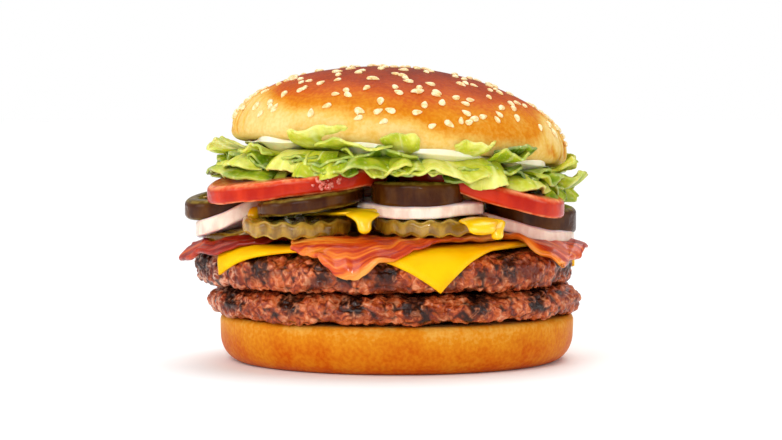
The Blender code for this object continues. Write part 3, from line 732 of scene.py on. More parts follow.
@dataclass(frozen=True)
class Plain(Finish):
    """A smooth food of one colour that shifts a little over its patches."""

    colours: tuple[str, str] = ("#FFFFFF", "#EEEEEE")
    patch: float = 6.0
    bumps: float = 0.05

    def colour(self, add: Adder, place: Socket) -> Socket:
        """From one colour to the other in soft patches."""
        return add(Node.MIX, patchy(add, place, self.patch), *self.colours)

    def height(self, add: Adder, place: Socket) -> Socket:
        """Very low unevenness over 1.5 mm."""
        return add(Node.MULTIPLY, add(Node.NOISE, place, PER_MM / 1.5), self.bumps)


# Baked dough under a thin egg glaze: a satin skin with hardly a mirror in it
CRUST = Crust("glazed_bun_crust", roughness=0.4, sink=0.08, sink_mm=1.5, shine=0.035)
# Coarse minced beef, grilled: wet fat gives small sharp glints over rough dark meat
BEEF = Beef("grilled_ground_beef", coat=0.26, coat_roughness=0.08, shine=0.2)
# The same beef, darker all over with more dark patches, and its bars at other places
DARK_BEEF = replace(BEEF, name="browned_ground_beef", bar_shift=6.1, bar_share=0.9, browned=0.85)
# Pressed and warmed: no grain, a soft broad sheen, and light that sinks a little way in
CHEESE = Cheese("processed_cheese", roughness=0.45, ior=1.46, sink=0.2, sink_mm=2.0, shine=0.12)
# Cured, sliced and fried: a film of hot fat over red and orange bands
STREAKY_BACON = Bacon("fried_bacon_streaky", roughness=0.3, ior=1.46, sink=0.06, coat=0.3, shine=0.25)
LEAN_BACON = replace(STREAKY_BACON, name="fried_bacon_lean", fatness=-0.12)
FAT_BACON = replace(STREAKY_BACON, name="fried_bacon_fatty", fatness=0.06)
# Brined and cut with a waved knife: olive, lit from within, and wet with brine
PICKLE = WetSlice("crinkle_cut_gherkin", roughness=0.22, ior=1.36, sink=0.25, sink_mm=2.0, coat=0.6,
                  coat_roughness=0.05, shine=0.3, skin=("#7A5408", "#AA801C"),
                  flesh=("#98742A", "#BA983C"), bumps=0.5)
# Raw and juicy: nearly white, with purple lines between its layers
ONION = WetSlice("raw_white_onion", roughness=0.28, ior=1.36, sink=0.35, sink_mm=2.0, coat=0.2,
                 skin=("#F3DECC", "#E4C4B0"), flesh=("#F7EEE6", "#F0E0D8"),
                 ring_pitch=3.2, ring_colour="#CDA6B4")
# Pickled until its green turned dark olive brown: dense, dull inside, with a smooth wet skin
PEPPER = WetSlice("pickled_green_pepper", roughness=0.25, ior=1.36, coat=0.14, coat_roughness=0.04, shine=0.12,
                  skin=("#381604", "#56300A"), flesh=("#5C4610", "#866C26"), skin_size=6.0, bumps=0.3)
# Ripe fruit with a tight skin: even deep red and glossy, with orange flesh on its cut faces
TOMATO = WetSlice("ripe_tomato", roughness=0.2, ior=1.36, sink=0.2, sink_mm=2.0, coat=0.25,
                  coat_roughness=0.04, shine=0.1, skin=("#AC1A04", "#CA300A"),
                  flesh=("#DC5026", "#EE8C58"), skin_size=8.0, bumps=0.3)
# Thin crisp leaf: a soft sheen, with light coming through
LEAF = Leaf("crisp_lettuce_leaf", roughness=0.35, ior=1.4, sink=0.2, sink_mm=1.0, shine=0.3)
# Whipped egg and oil: off-white, thick and glossy
MAYONNAISE = Plain("mayonnaise", roughness=0.22, sink=0.3, sink_mm=2.0, coat=0.3,
                   colours=("#FBF3DC", "#F5EAC8"))
# Ground seed paste: strong yellow and glossy
MUSTARD = Plain("yellow_mustard", roughness=0.22, ior=1.44, sink=0.2, sink_mm=1.5, coat=0.4,
                colours=("#F8C808", "#EDB304"))
# Hulled and toasted: cream with tan patches, satin
SEED = Plain("hulled_sesame_seed", roughness=0.4, ior=1.46, sink=0.2, sink_mm=0.6,
             colours=("#FBE7B8", "#EBC27C"), patch=1.4)
# Pickled with its slice: tan and wet
PEPPER_SEED = Plain("pepper_seed", roughness=0.3, ior=1.46, coat=0.4, colours=("#C9A04C", "#A87C30"), patch=1.0)
# Drops on red skin: the red under them, paler, with sharp glints
WATER = Plain("water_on_tomato_skin", roughness=0.06, ior=1.33, coat=1.0, coat_roughness=0.02,
              colours=("#C8341C", "#E48A76"), patch=1.2)


def dressed(piece: Piece, finish: Finish, slot: Slot, *nodes: str) -> Piece:
    """Gives a piece its material and its body, and hides the CAD nodes that it stands for.

    Args:
        piece: The finished piece.
        finish: Its finish.
        slot: A slot of the burger's materials; not used.
        *nodes: The nodes that it replaces.

    Returns:
        The piece.
    """
    piece.data.materials.append(finish.make())
    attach(piece, "root")
    if nodes:
        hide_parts(*nodes)
    LOG.info("%s: %d faces", piece.name, len(piece.data.polygons))
    return piece


# Bread and beef


@dataclass
class Heel:
    """The lower bun: a low drum that rolls in to a smaller flat foot."""

    radius: float = 56.5
    height: float = 15.0
    foot: float = 49.5

    def build(self) -> Piece:
        """Turns the profile, lets the wall wander, and bakes it darkest at the foot.

        Returns:
            The lower bun.
        """
        wall = self.height - 6.3
        profile = [(0.0, self.height)]
        profile += arc((self.radius - 2, self.height - 2), (2, 2), 90, 0)
        profile += arc((self.foot, wall), (self.radius - self.foot - 0.1, wall), 0, -90)
        profile += [(0.0, 0.0)]
        rings, poles = lathed(resampled(profile, 150), 420)
        level = np.clip(rings[..., 2] / self.height, 0, 1)
        swell = 1 + (0.010 * noise(rings * [1, 1, 0], 30, 1) + 0.004 * noise(rings * [1, 1, 0.4], 9, 2)) * level
        rings = rings * np.stack([swell, swell, np.ones_like(swell)], axis=-1)
        reach = np.hypot(rings[..., 0], rings[..., 1]) / self.radius
        bake = 0.54 - 0.16 * ease(level, 0.35, 1.0) + 0.10 * ease(level, 0.22, 0.0)
        bake = bake - 0.35 * ease(reach, 0.97, 0.90) * ease(level, 0.9, 1.0)
        made = ringed("lower_bun", rings, poles, bake=bake)
        return dressed(made, CRUST, Slot.BUN, "bun_heel")


@dataclass
class Patty:
    """A grilled patty: a thick round-edged disc whose wall is all crumbs and strands."""

    name: str
    node: str
    seed: float
    finish: Finish
    radius: float = 59.7
    flat: float = 53.0
    shoulder: float = 5.6
    foot: float = 3.6
    below: float = 0.0
    above: float = 0.0

    def build(self) -> Piece:
        """Turns the profile and breaks it into lumps, grains and cracks.

        Returns:
            The patty.
        """
        low, high = (np.array(corner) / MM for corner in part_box(self.node))
        middle = (low[0] + high[0]) / 2
        bottom = low[2] - self.below
        thickness = high[2] + self.above - bottom
        profile = [(0.0, thickness), (self.flat * 0.8, thickness)]
        profile += arc((self.flat, thickness - self.shoulder), (self.radius - self.flat, self.shoulder), 90, 8)
        profile += arc((self.radius - self.foot, self.foot), (self.foot - 0.3, self.foot), -14, -90)
        profile += [(self.flat * 0.8, 0.0), (0.0, 0.0)]
        line = resampled(profile, 350)
        rim = line[line[:, 0] > self.flat - 9]
        caps = np.linspace(0, 1, 9, endpoint=False)[:, None] * [rim[0, 0], 0]
        line = np.concatenate([caps + [0, thickness], rim, caps[::-1]])
        rings, poles = lathed(line, 780)
        centre = np.array([middle, 0, bottom])
        made = ringed(self.name, rings + centre, poles + centre)

        def depth(points: Array) -> Array:
            """Lumps 9 mm wide, grains 3 mm wide with cracks round them, and crumbs, strongest on the wall."""
            bent = points + 0.9 * np.stack([noise(points, 3, self.seed + k) for k in (11, 12, 13)], axis=-1)
            reach = np.hypot(points[:, 0] - middle, points[:, 1])
            edge = 0.25 + 0.75 * ease(reach, self.flat - 6, self.flat + 2)
            grain = ease(grains(bent, 2.9, self.seed), 0.75, 0.15)
            crumb = ease(grains(bent, 1.35, self.seed + 5), 0.8, 0.2)
            amount = 1.2 * noise(points, 9, self.seed) + 0.9 * grain + 0.2 * crumb - 1.1
            return np.minimum(amount * edge, 0.55)

        relieved(made, depth)
        moved = node_points(self.name)
        bent = moved + 0.9 * np.stack([noise(moved, 3, self.seed + k) for k in (11, 12, 13)], axis=-1)
        # Painted shade for the cracks between grains, read by the beef's colour.
        crack = ease(grains(bent, 2.9, self.seed), 0.55, 0.85)
        for key, numbers in (("crack", crack), ("level", (moved[:, 2] - bottom) / thickness)):
            layer = made.data.attributes.new(key, "FLOAT", "POINT")
            layer.data.foreach_set("value", numbers.astype(np.float32))
        return dressed(made, self.finish, Slot.BEEF, self.node)


# Cheese and bacon


@dataclass(frozen=True)
class Deck:
    """The top of the upper patty, over whose rim cheese and bacon bend down."""

    x: float = -4.3
    z: float = 36.6
    flat: float = 53.6
    bend: float = 6.6
    steepest: float = math.radians(74)

    def over_rim(self, x: Array, y: Array, level: Array) -> Array:
        """Bends a flat sheet down past the rim: round an arc, then straight on at the steepest angle.

        Args:
            x: Flat places in mm.
            y: Flat places in mm.
            level: Heights above the deck in mm.

        Returns:
            Points in mm, with the inputs' shape and 3 more.
        """
        across = x - self.x
        reach = np.maximum(np.hypot(across, y), 1e-6)
        bend = self.bend + level
        past = np.maximum(reach - self.flat, 0)
        angle = np.minimum(past / bend, self.steepest)
        run = past - bend * angle
        out = np.minimum(reach, self.flat) + bend * np.sin(angle) + run * np.cos(angle)
        down = bend * (1 - np.cos(angle)) + run * np.sin(angle)
        return np.stack([self.x + across / reach * out, y / reach * out, self.z + level - down], axis=-1)


DECK = Deck()
STIFF_DECK = Deck(flat=50.0, bend=34.0, steepest=math.radians(30))


@dataclass
class CheeseSlice:
    """One square slice whose corners melted down over the patty."""

    corners: tuple = ((-144, 67.0), (-74, 71.0), (10, 68.0), (102, 66.0))
    level: float = 0.7
    thickness: float = 1.8

    def build(self) -> Piece:
        """Blends the four corners over a grid, bends it over the rim, and swells its edge a little.

        Returns:
            The cheese slice.
        """
        u, v = np.meshgrid(np.linspace(-1, 1, 140), np.linspace(-1, 1, 140), indexing="ij")
        shares = [(1 - u) * (1 - v), (1 + u) * (1 - v), (1 + u) * (1 + v), (1 - u) * (1 + v)]
        x, y = DECK.x + 0 * u, 0 * u
        for share, (degrees, reach) in zip(shares, self.corners):
            x = x + share / 4 * reach * math.cos(math.radians(degrees))
            y = y + share / 4 * reach * math.sin(math.radians(degrees))
        edge = np.maximum(abs(u), abs(v))
        flat = np.stack([x, y, 0 * x], axis=-1)
        wave = 0.25 * noise(flat, 9, 3) * ease(edge, 0.6, 1.0)
        middle = DECK.over_rim(x, y, self.level + self.thickness / 2 + np.maximum(wave, -0.2))
        thickness = self.thickness * (0.92 + 0.10 * ease(edge, 0.85, 0.97) - 0.55 * ease(edge, 0.975, 1.0))
        made = sheeted("cheese", middle[None], thickness[None])
        return dressed(made, CHEESE, Slot.CHEESE, "cheese_slice")


def curve_through(points: Array, share: Array) -> Array:
    """A smooth curve through points: each coordinate is a Catmull-Rom blend of its four nearest points.

    Args:
        points: (n, k) numbers.
        share: How far along, from 0 to 1.

    Returns:
        (len(share), k) numbers.
    """
    spans = len(points) - 1
    place = np.clip(share, 0, 0.99999) * spans
    i = place.astype(int)
    t = (place - i)[:, None]
    a, b, c, d = (points[np.clip(i + k, 0, spans)] for k in (-1, 0, 1, 2))
    return b + 0.5 * ((c - a) * t + (2 * a - 5 * b + 4 * c - d) * t ** 2 + (3 * b - a - 3 * c + d) * t ** 3)


@dataclass
class Rasher:
    """A fried rasher that follows a route over the deck. A route point is x, y and width in mm."""

    name: str
    node: str
    route: tuple
    finish: Finish
    seed: float
    deck: Deck = DECK
    thickness: float = 1.9
    ripple: float = 1.0
    slant: float = 0.0

    def build(self) -> Piece:
        """Widens the route to a band, lifts it to its node's height, bends it over the rim and ripples it.

        Returns:
            The rasher.
        """
        u = np.linspace(0, 1, 240)
        v = np.linspace(-1, 1, 56)
        track = curve_through(np.array(self.route, float), u)
        ahead = np.gradient(track[:, :2], axis=0)
        ahead /= np.linalg.norm(ahead, axis=1, keepdims=True)
        side = np.stack([-ahead[:, 1], ahead[:, 0]], axis=-1)
        run = np.concatenate([[0], np.cumsum(np.linalg.norm(np.diff(track[:, :2], axis=0), axis=1))])
        spread = np.stack([run, 0 * run, 0 * run], axis=-1)
        left = track[:, 2] / 2 * (1 + 0.13 * fractal(spread, 8, 2, self.seed))
        right = track[:, 2] / 2 * (1 + 0.13 * fractal(spread, 7, 2, self.seed + 3))
        half = np.where(v[None] < 0, left[:, None], right[:, None])
        tear = fractal(np.stack([v * half.mean(), 0 * v, 0 * v + self.seed], axis=-1), 6, 3, self.seed)
        tear = 2.6 * tear * (ease(u, 0.12, 0.0) + ease(u, 0.88, 1.0))[:, None]
        x = track[:, None, 0] + side[:, None, 0] * half * v + ahead[:, None, 0] * tear
        y = track[:, None, 1] + side[:, None, 1] * half * v + ahead[:, None, 1] * tear
        level = mid_height(self.node, 3, within=52)(x, y) - DECK.z
        level = np.clip(level, 1.6, 7.0)
        flat = np.stack([x, y, 0 * x], axis=-1)
        outward = ((1 - v[None]) / 2) ** 4
        wave = noise(spread, 6.5, self.seed + 5)[:, None] * outward + 0.5 * noise(flat, 5, self.seed)
        wave = wave + 0.45 * (0.6 - 2 * abs(noise(flat, 5.5, self.seed + 20)))
        level = level + self.ripple * np.maximum(wave, -0.35)
        level = level - self.slant * (1 - v) / 2 * ease(np.hypot(x, y), 44, 58)
        middle = self.deck.over_rim(x, y, level)
        edge = np.minimum(ease(1 - abs(v[None]), 0.0, 0.10), ease(np.minimum(u, 1 - u), 0.0, 0.012)[:, None])
        thickness = self.thickness * (0.35 + 0.65 * edge) * (1 + 0.15 * noise(flat, 4, self.seed + 8))
        along = np.broadcast_to(run[:, None] * MM, x.shape)
        across = half * v * MM
        made = sheeted(self.name, middle[None], thickness[None], along=along[None], across=across[None])
        return dressed(made, self.finish, Slot.BACON, self.node)


LEFT_ROUTE = ((-66.5, -17, 6.5), (-53, -26, 20), (-43, -29, 20), (-34, -23, 20), (-30, -9, 20), (-32, 6, 20))
MIDDLE_ROUTE = ((-32, -50, 8), (-23, -51, 18), (-12.5, -53, 27), (1, -48, 24), (11, -38, 20), (22, -28, 18),
                (30, -16, 16))
RIGHT_ROUTE = ((-30, 44, 22), (-6, 30, 24), (14, 12, 24), (28, -6, 22), (42, -22, 22), (56, -28, 24))


# Slices


@dataclass
class RoundSlice:
    """A round slice on the pile: its outline wavers and its middle follows its CAD node."""

    name: str
    node: str
    finish: Finish
    slot: Slot
    thickness: float
    rounding: float = 0.8
    degree: int = 3
    waver: float = 0.02
    uneven: float = 0.12
    seed: float = 1.0
    lower: float = 0.0
    tilt: tuple = (0.0, 0.0)
    shift: tuple = (0.0, 0.0)
    rim: float = 0.0
    place: tuple | None = None

    def faces(self, rings: Array) -> Array:
        """What to add to the height of each ring point, before the slice is laid in its place."""
        return 0 * rings[..., 0]

    def build(self) -> Piece:
        """Turns a rounded disc, wavers its outline, and lays it on the polynomial that fits the node.

        The slice then lies lower by self.lower, and rises by self.tilt for each mm along X and Y. A slice
        that no node stands for has its x, y, radius and height in self.place.

        Returns:
            The slice.
        """
        x, y, radius = self.place[:3] if self.place else node_disc(self.node)
        half = self.thickness / 2
        profile = disc_profile(radius, half, self.rounding, 56)
        rings, poles = lathed(profile, 200)
        wall = ease(radius - np.hypot(rings[..., 0], rings[..., 1]), 0.55, 0.15)
        wall = wall * ease(rings[..., 2], half, half - self.rim) if self.rim else wall
        reach = np.hypot(rings[..., 0], rings[..., 1]) * MM
        rings[..., 2] += self.faces(rings)
        turn = headings(200)
        swell = 1 + self.waver * np.sin(2 * turn + self.seed) + 0.6 * self.waver * np.sin(3 * turn - self.seed)
        rings[..., :2] *= swell[None, None, :, None]
        rings[..., 2] += self.uneven * fractal(rings * [1, 1, 0.3], 7, 2, self.seed)
        height = (lambda *_: self.place[3]) if self.place else mid_height(self.node, self.degree)
        for points in (rings, poles):
            points[..., 2] += points[..., :2] @ np.array(self.tilt) - self.lower
            points[..., :2] += [x, y]
            points[..., 2] += height(points[..., 0], points[..., 1])
            points[..., :2] += self.shift
        made = ringed(self.name, rings, poles, wall=wall, reach=reach)
        return dressed(made, self.finish, self.slot, *([] if self.place else [self.node]))


@dataclass
class CrinkleSlice(RoundSlice):
    """A pickle slice cut with a waved knife, so both faces have the same waves."""

    turn: float = 0.0
    pitch: float = 5.6
    wave: float = 0.45

    def faces(self, rings: Array) -> Array:
        """A sine across the slice, turned by the slice's own angle."""
        angle = math.radians(self.turn)
        across = rings[..., 0] * math.cos(angle) + rings[..., 1] * math.sin(angle)
        return self.wave * np.sin(2 * math.pi * across / self.pitch)


@dataclass
class DishedSlice(RoundSlice):
    """A pepper slice whose seeded middle lies lower than its thick wall."""

    dish: float = 1.3
    dish_radius: float = 10.3

    def faces(self, rings: Array) -> Array:
        """Sinks the upper face inside the dish's radius."""
        reach = np.hypot(rings[..., 0], rings[..., 1])
        return -self.dish * ease(reach, self.dish_radius + 0.7, self.dish_radius - 0.7) * (rings[..., 2] > 0)


def grain_rings(length: float, width: float, height: float) -> tuple[Array, Array]:
    """A seed lying along X: an egg outline, pointed at +X, with round sections.

    Args:
        length: In mm.
        width: In mm.
        height: In mm.

    Returns:
        Rings (rows, columns, 3) and poles (2, 3).
    """
    angle = np.radians([28, 62, 96, 130, 160])
    x = -np.cos(angle)[:, None] * length / 2
    girth = np.sin(angle)[:, None] * (1 - 0.42 * -np.cos(angle)[:, None])
    turn = headings(8)
    rings = np.stack([x + 0 * turn, girth * np.cos(turn) * width / 2, girth * np.sin(turn) * height / 2], axis=-1)
    return rings, np.array([[-length / 2, 0, 0], [length / 2, 0, 0]])


def scattered(rings: Array, poles: Array, places: Array, up: Array, spin: Array, size: Array) -> tuple[Array, Array]:
    """Copies a small shape to many places.

    Args:
        rings: The shape, (rows, columns, 3).
        poles: Its ends, (2, 3).
        places: Where each copy sits, (n, 3).
        up: The way each copy's Z points, (n, 3), of length 1.
        spin: Each copy's turn about that way, in radians, (n,).
        size: Each copy's scale, (n,).

    Returns:
        Rings (n, rows, columns, 3) and poles (n, 2, 3).
    """
    helper = np.where(abs(up[:, [2]]) < 0.9, [[0.0, 0.0, 1.0]], [[1.0, 0.0, 0.0]])
    side = np.cross(helper, up)
    side /= np.linalg.norm(side, axis=1, keepdims=True)
    other = np.cross(up, side)
    along = side * np.cos(spin)[:, None] + other * np.sin(spin)[:, None]
    basis = np.stack([along, np.cross(up, along), up], axis=1) * size[:, None, None]
    return (np.einsum("rck,nkj->nrcj", rings, basis) + places[:, None, None],
            np.einsum("pk,nkj->npj", poles, basis) + places[:, None])


@dataclass
class Droplets:
    """Water on the front wall of the left tomato slice."""

    node: str = "tomato_left"
    count: int = 34
    first: float = -80.0
    last: float = -52.0
    lower: float = 1.4

    def build(self) -> Piece:
        """Strews low domes over a stretch of the wall, from one heading to the other.

        Returns:
            The drops.
        """
        draw = np.random.default_rng(8)
        x, y, radius = node_disc(self.node)
        turn = np.radians(draw.uniform(self.first, self.last, self.count))
        away = np.stack([np.cos(turn), np.sin(turn), 0 * turn], axis=-1)
        places = np.array([x, y, 0.0]) + (radius + 0.1) * away
        places[:, 2] = mid_height(self.node, 3)(places[:, 0], places[:, 1]) - self.lower
        places[:, 2] += draw.uniform(-1.2, 2.2, self.count)
        rings, poles = grain_rings(1.5, 1.5, 0.9)
        rings, poles = scattered(rings, poles, places, away, draw.uniform(0, 6, self.count),
                                 draw.uniform(0.35, 1.1, self.count))
        return dressed(ringed("water_droplets", rings, poles), WATER, Slot.TOMATO)


# Upper bun, mayonnaise and lettuce


@dataclass(frozen=True)
class CrownFrame:
    """Where the upper bun sits, and how it leans: down to the right and to the back."""

    place: tuple = (0.4, 0.0, 65.8)
    right: float = math.radians(4.9)
    back: float = math.radians(4.0)

    def matrix(self) -> Array:
        """The turn about X, then about Y."""
        cx, sx = math.cos(-self.back), math.sin(-self.back)
        cy, sy = math.cos(self.right), math.sin(self.right)
        about_x = np.array([[1, 0, 0], [0, cx, -sx], [0, sx, cx]])
        about_y = np.array([[cy, 0, sy], [0, 1, 0], [-sy, 0, cy]])
        return about_y @ about_x

    def out(self, points: Array) -> Array:
        """Takes points from the bun's own frame to the burger's."""
        return points @ self.matrix().T + np.array(self.place)

    def cut(self, x: Array, y: Array) -> Array:
        """The height of the bun's cut face above x and y."""
        normal = self.matrix()[:, 2]
        return self.place[2] - (normal[0] * (x - self.place[0]) + normal[1] * (y - self.place[1])) / normal[2]


CROWN = CrownFrame()


@dataclass
class Crown:
    """The upper bun: a full dome with a rolled-in foot, and sesame seeds all over its upper part."""

    radius: float = 54.0
    height: float = 27.5
    widest: float = 3.8
    fullness: float = 1.92
    seeds: int = 270
    seed_size: tuple = (3.3, 2.05, 1.25)

    def dome(self, slope: Array, heading: Array) -> Array:
        """Points of the dome: reach and height are powers of the slope's cosine and sine.

        Args:
            slope: 0 at the widest line, a right angle at the top.
            heading: Radians from +X.

        Returns:
            Points in the bun's own frame.
        """
        power = 2 / self.fullness
        reach = self.radius * np.maximum(np.cos(slope), 0) ** power
        height = self.widest + (self.height - self.widest) * np.maximum(np.sin(slope), 0) ** power
        return np.stack([reach * np.cos(heading), reach * np.sin(heading), height + 0 * heading], axis=-1)

    def crust(self) -> Piece:
        """Turns the dome's profile, wrinkles it above the foot, bakes it darkest on top, and paints shade into its
        creases.

        Returns:
            The upper bun.
        """
        dome = self.dome(np.radians(np.linspace(90, 0, 90)), np.zeros(90))
        profile = [tuple(point) for point in dome[:, [0, 2]]]
        profile += arc((self.radius - 3.5, self.widest), (3.5, self.widest), 0, -90)
        profile += [(0.0, 0.0)]
        rings, poles = lathed(resampled(profile, 190), 420)
        level = rings[..., 2] / self.height
        under = ease(np.hypot(rings[..., 0], rings[..., 1]) / self.radius, 0.94, 0.90) * (level < 0.02)
        wide = noise(rings, 26, 4)
        swell = 1 + (0.010 * wide + 0.004 * noise(rings * [1, 1, 0.25], 6, 5)) * ease(level, 0.0, 0.2)
        rings = rings * swell[..., None]
        turn = np.degrees(np.arctan2(rings[..., 1], rings[..., 0]))
        pale = 0.36 - 0.24 * np.exp(-((turn + 58) / 26) ** 2) + 0.05 * noise(rings, 9, 6)
        pale = pale + 0.24 * ease(abs(np.cos(np.radians(turn))), 0.78, 0.96)
        bake = 0.10 + 0.32 * ease(level, pale - 0.10, pale + 0.12) + 0.52 * ease(level + 0.05 * wide, 0.36, 0.95)
        # Painted shade: the crust is darker in its creases.
        bake = bake - 0.1 * under + 0.34 * self.crease(rings)
        made = ringed("upper_bun", CROWN.out(rings), CROWN.out(poles), bake=bake)
        relieved(made, lambda points: -0.8 * self.crease((points - np.array(CROWN.place)) @ CROWN.matrix()))
        return dressed(made, CRUST, Slot.BUN, "bun_crown")

    def crease(self, local: Array) -> Array:
        """Upright creases 3 mm apart in the lower wall: strong at the left and right ends, weaker in patches.

        Args:
            local: Points in the bun's own frame, in mm.

        Returns:
            0 on the smooth crust to 1 in the middle of a crease.
        """
        turn = np.arctan2(local[..., 1], local[..., 0])
        ring = np.stack([50 * np.cos(turn), 50 * np.sin(turn), 0.14 * local[..., 2]], axis=-1)
        low = ease(local[..., 2], 0.5, 3.0) * ease(local[..., 2], 18.0, 9.0)
        ends = ease(abs(np.cos(turn)), 0.80, 0.94)
        patches = np.maximum(0.35 * ease(noise(ring, 22, 9), 0.0, 0.5), ends)
        return low * patches * ease(abs(noise(ring, 3.2, 8)), 0.26, 0.0)

    def sesame(self) -> Piece:
        """Lays seeds along a sunflower spiral over the dome, shaken, each turned its own way.

        Returns:
            All the seeds.
        """
        draw = np.random.default_rng(11)
        number = np.arange(self.seeds)
        share = 1 - (number + 0.5) / self.seeds * 0.86
        slope = np.clip(np.arcsin(share ** 0.9) + draw.uniform(-0.10, 0.10, self.seeds), 0.16, 1.55)
        heading = number * math.pi * (3 - math.sqrt(5)) + draw.uniform(-0.25, 0.25, self.seeds)
        here = self.dome(slope, heading)
        rise = self.dome(slope + 0.02, heading) - here
        sideways = self.dome(slope, heading + 0.02) - here
        away = np.cross(sideways, rise)
        away /= np.linalg.norm(away, axis=1, keepdims=True)
        wide = noise(here, 26, 4)
        here = here * (1 + 0.010 * wide * ease(here[:, 2] / self.height, 0.0, 0.2))[:, None] + 0.12 * away
        rings, poles = grain_rings(*self.seed_size)
        spin = draw.uniform(0, 2 * math.pi, self.seeds)
        size = draw.uniform(0.82, 1.1, self.seeds)
        rings, poles = scattered(rings, poles, here, away, spin, size)
        made = ringed("sesame_seeds", CROWN.out(rings), CROWN.out(poles))
        return dressed(made, SEED, Slot.BUN)


@dataclass
class Mayonnaise:
    """Mayonnaise under the crown. Each blob has its heading, its width in degrees and its share."""

    blobs: tuple = ((-142, 9, 1.0), (-101, 12, 1.0), (-74, 13, 1.0), (-33, 10, 1.0), (20, 14, 0.7), (80, 20, 0.8),
                    (150, 16, 0.7))
    radius: float = 49.0
    swell: float = 3.6
    depth: float = 3.4

    def build(self) -> Piece:
        """A film with round margins whose reach and depth grow at the blobs.

        Returns:
            The mayonnaise.
        """
        rings, poles = lathed(disc_profile(1.0, 0.5, 0.30, 48), 300)
        turn = headings(300)
        blob = sum(amount * np.exp(-(((turn - math.radians(at) + math.pi) % (2 * math.pi) - math.pi)
                                     / math.radians(width)) ** 2) for at, width, amount in self.blobs)
        blob = np.minimum(blob, 1)[None, None]
        share = np.hypot(rings[..., 0], rings[..., 1])
        reach = self.radius + self.swell * blob
        deep = 0.7 + self.depth * blob * ease(share, 0.55, 1.0)
        down = 0.4 + deep * (0.5 - rings[..., 2])
        hug = 2.2 * blob * ease(share, 0.90, 1.0)
        rings = np.stack([rings[..., 0] * reach, rings[..., 1] * reach, hug - down], axis=-1)
        rings[..., 2] -= 0.25 * fractal(rings, 5, 2, 3) * ease(share, 0.6, 1.0)
        poles = np.array([[[0, 0, -0.4], [0, 0, -1.1]]])
        made = ringed("mayonnaise_layer", CROWN.out(rings), CROWN.out(poles))
        return dressed(made, MAYONNAISE, Slot.MAYONNAISE, "mayonnaise")


@dataclass
class LeafShape:
    """One torn leaf, in degrees and mm.

    It starts at the reach inner and the height low, sets out at a slope and bends on its way to its margin.
    """

    heading: float
    span: float
    inner: float
    low: float
    length: float
    slope: float
    bend: float
    ruffle: float
    waves: float
    phase: float
    tone: float


class Layer(Enum):
    """The layers of leaves: how far up the gap they start, their bend, their length and their reach."""

    HANGING = (0.40, -46.0, 15.0, 59.5)
    INNER = (0.60, -20.0, 16.0, 54.5)
    TURNED_UP = (0.70, 24.0, 15.0, 59.0)
    FRONT = (0.0, 0.0, 0.0, 0.0)


